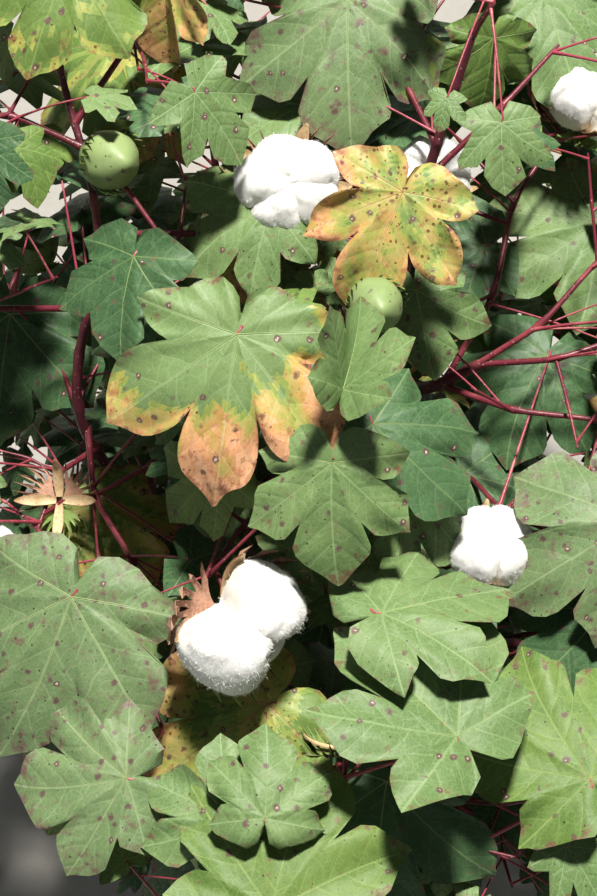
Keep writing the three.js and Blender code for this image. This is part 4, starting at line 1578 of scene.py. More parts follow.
@dataclass(frozen=True)
class LeafFinish:
    """A leaf's skin: two colours that run into each other, veins, veinlets, specks, spots and blotches."""

    name: str
    colour: str
    mottle: str
    veinlet: str
    specks: float = 0.4
    spots: float = 0.36
    roughness: float = 0.52
    blotch: float = 0.1
    blotch_colour: str = "704a40"
    speck_colour: str = "2c1f1a"
    ring_colour: str = "5d3a42"
    heart_colour: str = "c9b8a4"
    veined: bool = True
    sectors: tuple[tuple[float, float], ...] = ((24.5, 48), (74, 52))

    def veins(self, recipe: Recipe) -> tuple[Term, Term, Term]:
        """Where a place lies among the veins.

        Args:
            recipe: The material that is being built.

        Returns:
            How much it is on a main vein, how far from a side vein, and its share of the way to the rim.
        """
        rest = recipe.node("ShaderNodeAttribute", {"attribute_name": MARKS}, output="Vector")
        along, aside, share = recipe.parts(rest)
        aside = aside.size()
        far = (along * along + aside * aside).maths("SQRT")
        turn = aside.maths("ARCTAN2", along)
        off = turn
        for start, by in self.sectors:
            off = off - (turn > start * TURN) * (by * TURN)
        across = (far * off.maths("SINE")).size()
        run = far * off.maths("COSINE") + (recipe.noise(24, 2) - 0.5) * 0.12 + (off > 0) * 0.09
        curve = run - across * 0.75 - across * across * 1.1
        return 1 - across.rising(0.003, 0.01), curve.folded(0.095), share

    def material(self) -> bpy.types.Material:
        """The leaf's material.

        Returns:
            The material.
        """
        recipe = Recipe(self.name)
        wide, broad, fine = recipe.noise(8, 2), recipe.noise(38, 3), recipe.noise(190, 4, 0.6)
        blend = wide * 0.4 + broad * 0.35 + fine * 0.25
        colour = recipe.mix(self.colour, self.mottle, blend.rising(0.42, 0.6))
        net = recipe.cells(330, "DISTANCE_TO_EDGE")
        colour = recipe.mix(colour, self.veinlet, (1 - net.rising(0.02, 0.13)) * 0.2)
        marks, cluster = recipe.noise(95, 5, 0.68), recipe.noise(17, 2).rising(0.36, 0.62)
        height = fine * 0.5
        if self.veined:
            main, side, share = self.veins(recipe)
            branch = recipe.cells(95, "DISTANCE_TO_EDGE", place=recipe.bent(150, 0.008))
            colour = recipe.mix(colour, self.veinlet, (1 - branch.rising(0.01, 0.05)) * 0.3)
            colour = recipe.mix(colour, self.veinlet, (1 - side.rising(0.0015, 0.008)) * 0.45)
            colour = recipe.mix(colour, self.veinlet, main * 0.8)
            height = height + side.rising(0, 0.05) * 1.1 - main * 0.8
            marks = marks + share.rising(0.8, 1.03) * 0.12
        colour = recipe.mix(colour, self.blotch_colour, marks.rising(0.7 - self.blotch, 0.74) * 0.8)
        far, chance = recipe.dots(240)
        specks = (far < chance * 0.3 + 0.08) * (chance < (cluster + 0.3) * (0.8 * self.specks))
        colour = recipe.mix(colour, self.speck_colour, specks * 0.8)
        far, chance = recipe.dots(96, recipe.bent(300, 0.004))
        kept = chance < (cluster + 0.35) * self.spots
        grown = far + chance * 0.14
        colour = recipe.mix(colour, self.ring_colour, (1 - grown.rising(0.17, 0.34)) * kept * 0.85)
        colour = recipe.mix(colour, self.heart_colour, (1 - grown.rising(0.08, 0.12)) * kept * 0.9)
        return recipe.done(
            Base_Color=colour,
            Roughness=(fine * 0.2 + (self.roughness - 0.1)),
            Normal=recipe.bump(height, 0.28, 0.0008),
            Specular_IOR_Level=0.3,
        )


@dataclass(frozen=True)
class VeinFinish:
    """A leaf's veins."""

    name: str
    colour: str
    shade: str

    def material(self) -> bpy.types.Material:
        """The veins' material.

        Returns:
            The material.
        """
        recipe = Recipe(self.name)
        colour = recipe.mix(self.colour, self.shade, recipe.noise(90, 2).rising(0.45, 0.65))
        grain = recipe.bump(recipe.noise(900, 2), 0.2, 0.0003)
        return recipe.done(Base_Color=colour, Roughness=0.5, Normal=grain)


@dataclass(frozen=True)
class StemFinish:
    """The skin of stems: dark red, streaked lengthwise, with pale pores and a corky foot."""

    name: str
    colour: str
    light: str
    dark: str
    pore: str = "b59a86"
    cork: str = "7d6553"
    crack: str = "4a3a30"
    cork_height: float = 0.0
    roughness: float = 0.4

    def material(self) -> bpy.types.Material:
        """The stems' material.

        Returns:
            The material.
        """
        recipe = Recipe(self.name)
        broad, streak = recipe.noise(26, 3), recipe.noise(240, 5, 0.62)
        colour = recipe.mix(self.colour, self.light, broad.rising(0.5, 0.68))
        colour = recipe.mix(colour, self.dark, streak.rising(0.52, 0.7) * 0.75)
        far, chance = recipe.dots(310)
        pores = (far < 0.2) * (chance < 0.35)
        colour = recipe.mix(colour, self.pore, pores * 0.7)
        if self.cork_height:
            height = recipe.node("ShaderNodeSeparateXYZ", {}, {0: recipe.place}, 2)
            corky = 1 - (height + (broad - 0.5) * 0.12).rising(self.cork_height * 0.35, self.cork_height)
            bark = recipe.mix(self.cork, self.crack, streak.rising(0.45, 0.62))
            colour = recipe.mix(colour, bark, corky)
        return recipe.done(
            Base_Color=colour,
            Roughness=streak * 0.3 + (self.roughness - 0.12),
            Normal=recipe.bump(streak, 0.45, 0.0008),
            Specular_IOR_Level=0.5,
        )


@dataclass(frozen=True)
class LintFinish:
    """Fluffed lint: nearly white, matt, with a fine tangle of fibres, cream tint in random patches, and
    painted shade in the creases where the locks meet.

    Depth is the share of light that wanders under its surface.
    """

    name: str
    depth: float
    colour: str = "fbfaf6"
    # The cream tints the lint in random patches and is also painted as shade in the creases between the
    # locks.
    cream_and_crease_shade: str = "e6d9c4"

    def material(self) -> bpy.types.Material:
        """The lint's material.

        Returns:
            The material.
        """
        recipe = Recipe(self.name)
        tangle = recipe.noise(1100, 6, 0.72, recipe.bent(200, 0.006))
        lumps = recipe.noise(130, 4, 0.6)
        # Random cream patches from noise; this share paints no shade.
        cream_and_crease_shade = (tangle * 0.35 + lumps * 0.65).rising(0.55, 0.8)
        colour = recipe.mix(self.colour, self.cream_and_crease_shade, cream_and_crease_shade * 0.45)
        # Painted shade: the cream colour laid on each lock's sides, where it presses against its neighbours
        # in a crease.
        rest = recipe.node("ShaderNodeAttribute", {"attribute_name": MARKS}, output="Vector")
        crease = recipe.parts(rest)[1].size().rising(0.66, 1.0)
        colour = recipe.mix(colour, self.cream_and_crease_shade, crease * 0.6)
        return recipe.done(
            Base_Color=colour,
            Roughness=0.95,
            Normal=recipe.bump(tangle, 0.4, 0.002),
            Specular_IOR_Level=0.08,
            Sheen_Weight=0.4,
            Sheen_Roughness=0.6,
            Subsurface_Weight=self.depth,
            Subsurface_Scale=0.008,
            Subsurface_Radius=(1, 1, 1),
        )


@dataclass(frozen=True)
class HuskFinish:
    """Dry husk: tan to brown, with darker fibres along it."""

    name: str
    colour: str
    shade: str
    streak: str = "3b2418"

    def material(self) -> bpy.types.Material:
        """The husk's material.

        Returns:
            The material.
        """
        recipe = Recipe(self.name)
        fibres, broad = recipe.noise(420, 5, 0.65), recipe.noise(70, 3)
        blend = (fibres * 0.5 + broad * 0.5).rising(0.42, 0.62)
        colour = recipe.mix(self.colour, self.shade, blend)
        colour = recipe.mix(colour, self.streak, (fibres > 0.66) * 0.5)
        return recipe.done(Base_Color=colour, Roughness=0.7, Normal=recipe.bump(fibres, 0.5, 0.0006))


@dataclass(frozen=True)
class FloorFinish:
    """A plain pale floor."""

    name: str = "floor"
    colour: str = "aeaba4"
    shade: str = "aaa7a0"

    def material(self) -> bpy.types.Material:
        """The floor's material.

        Returns:
            The material.
        """
        recipe = Recipe(self.name)
        mottle = recipe.noise(60, 4).rising(0.35, 0.65)
        colour = recipe.mix(self.colour, self.shade, mottle)
        return recipe.done(Base_Color=colour, Roughness=0.9)


# The plant's pieces


class Skin(Enum):
    """The leaves' finishes, by slot: the greens, eight stages of turning, the underside and the veins."""

    MID = 0
    DEEP = 1
    BRIGHT = 2
    PALING = 3
    LIME = 4
    STRAW = 5
    GOLD = 6
    AMBER = 7
    SALMON = 8
    RUST = 9
    BROWN = 10
    UNDER = 11
    VEIN = 12
    RED_VEIN = 13
    SPOTTED = 14


LEAF_FINISHES: dict[Skin, LeafFinish | VeinFinish] = {
    Skin.MID: LeafFinish("leaf_mid_green", "5f7a47", "6f8753", "8ca374"),
    Skin.DEEP: LeafFinish("leaf_deep_green", "3a5a38", "486743", "6c865a", 0.3, 0.24, 0.48, 0.07),
    Skin.BRIGHT: LeafFinish("leaf_bright_green", "587437", "68813f", "849a58", 0.4, 0.3),
    Skin.PALING: LeafFinish(
        "leaf_paling", "768e47", "87954b", "a2ae66", 0.9, 0.6, 0.48, 0.16, "7c4a38", "52301f"
    ),
    Skin.LIME: LeafFinish(
        "leaf_lime", "939c4d", "a09d4d", "b4b66e", 0.9, 0.7, 0.5, 0.17, "84503a", "5a3022"
    ),
    Skin.STRAW: LeafFinish(
        "leaf_straw", "a6a05a", "b09c58", "c0b67a", 0.9, 0.8, 0.5, 0.19, "8a5440", "5a3022"
    ),
    Skin.GOLD: LeafFinish(
        "leaf_gold", "b8a05c", "b8924f", "ceb67a", 0.9, 0.9, 0.52, 0.2, "8e5644", "5c3022"
    ),
    Skin.AMBER: LeafFinish(
        "leaf_amber", "cba268", "c49060", "e0be92", 0.9, 0.9, 0.54, 0.19, "945a48", "5c3022"
    ),
    Skin.SALMON: LeafFinish(
        "leaf_salmon", "e0a874", "d4946a", "eec49c", 0.7, 0.8, 0.56, 0.17, "945a48", "5c3022"
    ),
    Skin.RUST: LeafFinish("leaf_rust", "d8946e", "e2ae84", "e8bc98", 0.6, 0.3, 0.6, 0.16, "804838"),
    Skin.BROWN: LeafFinish("leaf_brown", "b07c58", "c29068", "cea684", 0.6, 0.2, 0.65, 0.18, "643c2a"),
    Skin.UNDER: LeafFinish("leaf_underside", "76906a", "849e76", "9cb087", 0.2, 0.1, 0.6, 0.05),
    Skin.VEIN: VeinFinish("vein_pale", "8fa368", "a3b078"),
    Skin.RED_VEIN: VeinFinish("vein_red", "ac6259", "b98a5a"),
    Skin.SPOTTED: LeafFinish("leaf_spotted", "627a4f", "6f8558", "8da076", 0.5, 1.25, 0.52, 0.18, "694449"),
}
OLD = 0.3
AGES = (0.36, 0.42, 0.48, 0.55, 0.62, 0.7, 0.8, 0.92)


@dataclass(frozen=True)
class LeafDetail:
    """How finely a leaf is made: its columns from the midrib round, its rings and its veins' rings."""

    turns: tuple[float, ...]
    shares: tuple[float, ...]
    vein_rings: int = 0

    def halved(self) -> LeafDetail:
        """The same with every step cut in two.

        Returns:
            The finer detail.
        """

        def cut(row: tuple[float, ...]) -> tuple[float, ...]:
            """A row of steps with the middle of each step added."""
            return tuple(sorted([*row, *[(a + b) / 2 for a, b in zip(row, row[1:])]]))

        return LeafDetail(cut(self.turns), cut(self.shares), 2 * self.vein_rings)


SHOWN_DETAIL = LeafDetail(
    (0, 2, 5, 9, 14, 19, 22, 25, 28, 32, 37, 43, 46, 48, 50, 54, 60, 66, 71, 75, 79, 84, 90, 96, 100, 104)
    + (110, 120, 134, 150, 166, 180),
    (0, 0.12, 0.25, 0.38, 0.5, 0.61, 0.71, 0.8, 0.88, 0.95, 1),
    8,
)
CROWN_DETAIL = LeafDetail(
    (0, 4, 11, 19, 25, 31, 39, 45, 48, 52, 60, 70, 75, 80, 89, 96, 100, 106, 120, 145, 168, 180),
    (0, 0.2, 0.4, 0.58, 0.74, 0.88, 1),
    5,
)
SMALL_DETAIL = LeafDetail((0, 10, 20, 25, 30, 41, 48, 57, 75, 92, 100, 118, 155, 180), (0, 0.42, 0.75, 1))


@dataclass(frozen=True)
class LeafWaves:
    """How far a leaf departs from its plain form, in lengths and in shares of its reach."""

    outline: tuple[tuple[float, float], ...] = ((3, 0.035), (8, 0.02), (21, 0.009))
    lobes: float = 0.03
    edge: float = 0.027
    ripples: float = 0.014
    cup: float = 0.06
    tips: float = 0.07
    bend: float = 0.14
    cut: float = 0.04
    bays: tuple[tuple[float, float], ...] = ((26, 8), (76, 9))


@dataclass
class Foliage:
    """The leaves: fine ones that the plant shows, plainer ones by rule, and small ones."""

    thick: float = 0.003
    vein_foot: float = 0.0095
    vein_tip: float = 0.0024
    vein_reach: float = 0.95
    waves: LeafWaves = LeafWaves()
    small: float = 76
    dither: float = 0.022
    green_until: float = 0.3
    yellow: float = 0.09
    brown: float = 0.13
    deep_high: float = 0.56
    # Share of deep greens below the crown's middle: real deeper green, and painted shade for the lower
    # crown.
    deep_low_and_painted_shade: float = 0.86
    fresh: float = 0.92

    def form(self, detail: LeafDetail) -> Form:
        """A flat leaf, one long from its stalk's head to its tip, with raised veins where they have rings.

        Args:
            detail: How finely it is made.

        Returns:
            The form.
        """
        turns = [-turn for turn in reversed(detail.turns[1:])] + list(detail.turns)
        columns, rows = len(turns) - 1, len(detail.shares) - 1
        shape = bmesh.new()
        bmesh.ops.create_grid(shape, x_segments=columns, y_segments=rows, size=0.5)
        for vert in shape.verts:
            turn = turns[round((vert.co.x + 0.5) * columns)]
            far = detail.shares[round((vert.co.y + 0.5) * rows)] * OUTLINE.full_rim(turn)
            vert.co = (far * math.cos(turn * TURN), far * math.sin(turn * TURN), 0)
        bmesh.ops.remove_doubles(shape, verts=shape.verts[:], dist=1e-5)
        bmesh.ops.recalc_face_normals(shape, faces=shape.faces[:])
        if shape.faces[0].normal.z < 0:
            bmesh.ops.reverse_faces(shape, faces=shape.faces[:])
        if detail.vein_rings:
            bmesh.ops.solidify(shape, geom=shape.faces[:], thickness=self.thick)
            low = min(vert.co.z for vert in shape.verts)
            bmesh.ops.translate(shape, vec=(0, 0, -low - self.thick / 2), verts=shape.verts[:])
            bmesh.ops.recalc_face_normals(shape, faces=shape.faces[:])
            self.add_veins(shape, detail.vein_rings)
            in_order(shape)
        form = Form(shape)
        x, y = form.rest[:, 0], form.rest[:, 1]
        rims = np.array([OUTLINE.full_rim(turn) for turn in np.arctan2(y, x) / TURN])
        form.marks = np.c_[x, y, np.hypot(x, y) / rims]
        return form

    def add_veins(self, shape: bmesh.types.BMesh, rings: int) -> None:
        """Adds a raised vein along the middle of every lobe.

        Args:
            shape: The leaf's mesh.
            rings: The veins' steps.
        """
        tube = tube_form(4, rings)
        ring = np.rint(tube.rest[:, 2]).astype(int)
        shares = np.linspace(0, 1, rings + 1)
        half = between(self.vein_foot, self.vein_tip, shares**0.7)[ring] / 2
        slots = np.full(len(tube.slots), Skin.VEIN.value, np.int32)
        for lobe in OUTLINE.lobes:
            for turn in {lobe.turn, -lobe.turn}:
                way, across = direction(turn, 0), direction(turn + 90, 0)
                places = (self.vein_reach * lobe.length * shares)[ring][:, None] * way
                places += (tube.rest[:, 0] * half)[:, None] * across
                places += (tube.rest[:, 1] * (half * 1.1 + self.thick * 0.4))[:, None] * UP
                tube.mesh.vertices.foreach_set("co", places.astype(np.float32).ravel())
                tube.mesh.polygons.foreach_set("material_index", slots)
                shape.from_mesh(tube.mesh)

    def places(self, form: Form, blade: Blade, seed: int) -> Points:
        """Where a leaf form's vertices stand on a blade, with waves of its own.

        Args:
            form: The leaf.
            blade: Where it hangs.
            seed: The source of its waves.

        Returns:
            One row for each vertex.
        """
        x, y, z = form.rest.T
        far, turn = np.hypot(x, y), np.arctan2(y, x)
        degrees = turn / TURN
        share = np.minimum(1, far / OUTLINE.rim(degrees))
        chance = np.random.default_rng(seed)
        start = chance.uniform(0, 2 * math.pi, 8)
        reach = far.copy()
        for k, (times, by) in enumerate(self.waves.outline):
            reach += far * share**2 * by * np.sin(times * turn + start[k])
        cut = blade.look.cut + self.waves.cut * chance.uniform(-1, 1)
        for middle, wide in self.waves.bays:
            reach -= far * share**2 * cut * np.exp(-(((np.abs(degrees) - middle) / wide) ** 2))
        lift = self.waves.lobes * share**2 * np.sin(5 * turn + start[3])
        lift += self.waves.edge * share**3 * np.sin(13 * turn + start[4])
        lift += self.waves.ripples * share * np.sin(15 * far + start[5]) * np.sin(4 * turn + start[6])
        lift += self.waves.cup * chance.uniform(-1, 0.8) * share**5
        lift -= self.waves.tips * share**4 * (0.5 + 0.5 * np.sin(2.4 * turn + start[7]))
        lift -= blade.look.curl * np.maximum(0, far - 0.5) ** 2
        lift += blade.look.fold * np.abs(y)
        bend = self.waves.bend
        turn += chance.uniform(-1, 1) * bend * far**2 + 0.6 * bend * far * np.sin(3 * turn + start[2])
        across = reach * np.sin(turn) / math.hypot(1, blade.look.fold)
        along = reach * np.cos(turn)
        far, degrees = np.hypot(along, across), np.arctan2(across, along) / TURN
        return blade.points(far, degrees, blade.length * (lift + z))

    def slots(self, form: Form, blade: Blade, seed: int) -> np.ndarray:
        """The finish of each face, by how far the leaf has turned there.

        Args:
            form: The leaf.
            blade: Where it hangs and how it looks.
            seed: The source of its patches.

        Returns:
            One slot for each face.
        """
        x, y = form.centres[:, 0], form.centres[:, 1]
        far, degrees = np.hypot(x, y), np.arctan2(y, x) / TURN
        share = np.minimum(1, far / OUTLINE.rim(degrees))
        look = blade.look
        age = look.turned + look.slope * far * np.cos((degrees - look.towards) * TURN) + look.rim * share**5
        patches = look.patch * ripple(form.centres, 0.3, seed)
        patches += 0.5 * look.patch * ripple(form.centres, 0.11, seed + 1)
        age += patches
        age += np.random.default_rng(seed).normal(0, self.dither, len(age)) * (age > self.green_until)
        stage = np.digitize(age, AGES)
        living = np.where(form.facing[:, 2] < -0.3, Skin.UNDER.value, look.green.value)
        slots = np.where(stage > 0, Skin.BRIGHT.value + stage, living)
        red = np.where(look.turned > OLD, Skin.RED_VEIN.value, Skin.VEIN.value)
        return np.where(form.slots == Skin.VEIN.value, red, slots)

    def chance_look(self, node: Node) -> Look:
        """The look of a leaf made by rule: most are green, the low ones more often deep green, a real trait
        that also paints the shade of the lower crown, and a few have turned.

        Args:
            node: The leaf's node.

        Returns:
            The look.
        """
        dice = Dice(node.seed + LOOK_SEED)
        roll, turned, towards = dice.roll(), dice.roll(), 360 * dice.roll()
        # Deeper green below the crown's middle, partly painted shade of the lower crown.
        deep = self.deep_low_and_painted_shade if node.at[2] < CROWN.centre[2] else self.deep_high
        if roll < self.yellow:
            return Look(Green.BRIGHT, 0.34 + 0.2 * turned, 0.2, towards, 0.14, 0.07, 0.25)
        if roll < self.brown:
            return Look(Green.BRIGHT, 0.66 + 0.2 * turned, 0.25, towards, 0.14, 0.08, 1.1)
        green = Green.DEEP if roll < deep else Green.MID if roll < self.fresh else Green.BRIGHT
        return Look(green, 0.04 + 0.12 * turned, 0.1, towards, 0.09, 0.04)

    def build(self, growth: Growth, finer: FinerGrowth, nodes: Sequence[str]) -> None:
        """Makes the leaves' pieces.

        Args:
            growth: The plant.
            finer: Its finer growth.
            nodes: The solids that the leaves stand for.
        """
        finishes = [LEAF_FINISHES[skin].material() for skin in Skin]
        fine = self.form(SHOWN_DETAIL)
        finest = self.form(SHOWN_DETAIL.halved())
        forms = {"leaves_crown": self.form(CROWN_DETAIL), "leaves_small": self.form(SMALL_DETAIL)}
        shown = {id(blade): k for k, blade in enumerate(growth.space.blades[: len(SHOWN_LEAVES)])}
        piles = {"leaves_shown": [], "leaves_crown": [], "leaves_small": []}
        for node in [*growth.nodes, *finer.nodes]:
            for blade, _ in node.leaves:
                if id(blade) in shown:
                    form = finest if blade.look.turned > OLD or not shown[id(blade)] else fine
                    piles["leaves_shown"].append((blade, form, node.seed))
                    continue
                blade.look = self.chance_look(node)
                name = "leaves_small" if blade.length < self.small else "leaves_crown"
                piles[name].append((blade, forms[name], node.seed))
        for name, leaves in piles.items():
            pile = Pile(name, finishes)
            for k, (blade, form, seed) in enumerate(leaves):
                pile.add(form, self.places(form, blade, seed + k), self.slots(form, blade, seed + 3))
            pile.finish("foliage", nodes if name == "leaves_shown" else ())
            LOG.info("%s: %d leaves", name, len(leaves))


@dataclass
class Stems:
    """The limbs with their bark, and the twigs and stalks."""

    limb_sides: int = 20
    ring_every: float = 2.8
    ridge: float = 0.045
    node_every: float = 43
    ring: float = 0.13
    ring_half: float = 5.5
    scar: float = 0.34
    buttress: float = 0.13
    knot: float = 0.4
    knot_half: float = 4.5
    twig_end: float = 0.55
    twig_foot: float = 2.7
    twig_tip: float = 1.6
    stalk_foot: float = 1.55
    stalk_head: float = 1.05
    stalk_end: float = 0.8
    stalk_sunk: float = -0.3
    stalk_rise: float = 3.2
    stalk_arch: float = 0.035
    foot_swell: float = 1.5
    head_swell: float = 1.2
    side_twig: float = 1.5
    side_tip: float = 1.0
    fruit_foot: float = 1.7
    fruit_seat: float = 1.3
    rounding: int = 2
    twig_steps: int = 7
    side_steps: int = 5
    stalk_steps: int = 8
    fruit_steps: int = 6
    crease: float = 70
    bark_seed: int = 50

    def limb_places(self, limb: Limb, seed: int) -> tuple[Form, Points]:
        """A limb's form and where its vertices stand, with ridges, nodes and leaf scars.

        Args:
            limb: The limb.
            seed: The source of its ridges.

        Returns:
            The form, and one row for each vertex.
        """
        rough = limb.curve(40)
        length = sum(np.linalg.norm(b - a) for a, b in zip(rough, rough[1:]))
        rings = int(length / self.ring_every)
        path = np.array(limb.curve(rings))
        radii = np.array([limb.radius(point[2]) for point in path])
        form = tube_form(self.limb_sides, rings)
        places = swept(form, path, radii)
        ring = np.rint(form.rest[:, 2]).astype(int)
        along = ring * (length / rings)
        turn = np.arctan2(form.rest[:, 1], form.rest[:, 0])
        skin = np.c_[np.cos(turn) * 10, np.sin(turn) * 10, along * 0.14]
        grow = self.ridge * ripple(skin, 8, seed) + 0.02 * ripple(skin * (1, 1, 6), 5, seed + 1)
        for k in range(1, int(length / self.node_every)):
            off = along - k * self.node_every
            grow += self.ring * np.exp(-((off / self.ring_half) ** 2))
            aside = np.abs((turn - 2.4 * k + math.pi) % (2 * math.pi) - math.pi)
            grow += self.scar * np.exp(-(((off - 4) / 3.2) ** 2) - (aside / 0.55) ** 2)
        if not limb.plan.parent:
            low = np.maximum(0, 1 - path[ring][:, 2] / FLARE_HEIGHT)
            grow += self.buttress * low**1.5 * np.sin(5 * turn + 1)
        places = path[ring] + (places - path[ring]) * (1 + grow)[:, None]
        places[:, 2] = np.maximum(places[:, 2], 0)
        return form, places

    def twig_path(self, twig: Sequence[Point], rings: int) -> tuple[Points, np.ndarray]:
        """A twig's line with points between its nodes, and how far each is from the nearest node.

        Args:
            twig: The twig's nodes.
            rings: The steps from node to node.

        Returns:
            The points, and their distances from a node.
        """
        path, off = [], []
        for low, high in zip(twig, twig[1:]):
            far = np.linalg.norm(high - low)
            for k in range(rings):
                path.append(low + (high - low) * (k / rings))
                off.append(min(k, rings - k) * far / rings)
        path = np.array([*path, twig[-1]])
        for _ in range(self.rounding):
            path[1:-1] = path[1:-1] / 2 + (path[:-2] + path[2:]) / 4
        return path, np.array([*off, 0.0])

    def add_twig(
        self, pile: Pile, form: Form, twig: Sequence[Point], rings: int, foot: float, tip: float
    ) -> None:
        """Adds one twig, thicker at its nodes.

        Args:
            pile: The piece.
            form: The tube.
            twig: The twig's nodes.
            rings: The steps from node to node.
            foot: Its first radius.
            tip: Its last radius.
        """
        path, off = self.twig_path(twig, rings)
        radii = np.linspace(foot, tip, len(path)) * (1 + self.knot * np.exp(-((off / self.knot_half) ** 2)))
        radii[-1] *= self.twig_end
        pile.add(form, swept(form, path, radii), np.zeros(len(form.slots)))

    def add_stalk(self, pile: Pile, form: Form, stalk: Sequence[Point], blade: Blade) -> None:
        """Adds a leaf's stalk, which arches a little and ends where the leaf's veins meet.

        Args:
            pile: The piece.
            form: The tube.
            stalk: The stalk's two ends.
            blade: Its leaf.
        """
        foot, seat = stalk
        head = blade.points(np.zeros(1), np.zeros(1), self.stalk_sunk)[0]
        shares = np.linspace(0, 1, self.stalk_steps)
        rise = UP * min(self.stalk_rise, self.stalk_arch * np.linalg.norm(seat - foot))
        path = foot + (seat - foot) * shares[:, None] + np.sin(math.pi * shares)[:, None] * rise
        path = np.vstack([path, head])
        scale = min(1.0, 0.45 + blade.length / 200)
        radii = np.array([*between(self.stalk_foot, self.stalk_head, shares), self.stalk_end]) * scale
        radii[0] *= self.foot_swell
        radii[-2] *= self.head_swell
        pile.add(form, swept(form, path, radii), np.ones(len(form.slots)))

    def build(self, growth: Growth, finer: FinerGrowth, nodes: Sequence[str]) -> None:
        """Makes the limbs' piece and the twigs' piece.

        Args:
            growth: The plant.
            finer: Its finer growth.
            nodes: The limbs' solids.
        """
        bark = StemFinish("stem_bark", "5c2530", "7d3a3c", "331620", cork_height=0.3)
        twig_bark = StemFinish("twig_bark", "6e2633", "93424a", "3d1722", roughness=0.36)
        stalk_skin = StemFinish("stalk_skin", "9c3f4e", "b8666a", "6b2634", roughness=0.38)
        pile = Pile("limbs", [bark.material()])
        for k, limb in enumerate(growth.limbs.values()):
            pile.add(*self.limb_places(limb, self.bark_seed + k))
        pile.finish("stem", nodes, self.crease)
        pile = Pile("twigs", [twig_bark.material(), stalk_skin.material()])
        forms: dict[int, Form] = {}
        for _, twig in growth.sprays:
            rings = self.twig_steps * (len(twig) - 1)
            forms.setdefault(rings, tube_form(8, rings))
            self.add_twig(pile, forms[rings], twig, self.twig_steps, self.twig_foot, self.twig_tip)
        sides = {count: tube_form(6, self.side_steps * count) for count in (1, 2)}
        for twig in finer.twigs:
            form = sides[len(twig) - 1]
            self.add_twig(pile, form, twig, self.side_steps, self.side_twig, self.side_tip)
        stalk_form, fruit_form = tube_form(6, self.stalk_steps), tube_form(8, self.fruit_steps)
        for node in [*growth.nodes, *finer.nodes]:
            for blade, stalk in node.leaves:
                self.add_stalk(pile, stalk_form, stalk, blade)
            for fruit, (foot, seat) in node.fruits:
                shares = np.linspace(0, 1, self.fruit_steps + 1)
                path = foot + (seat - foot) * shares[:, None]
                radii = self.fruit_foot + self.fruit_seat * shares**2
                pile.add(fruit_form, swept(fruit_form, path, radii), np.zeros(len(fruit_form.slots)))
        pile.finish("stem", crease=self.crease)


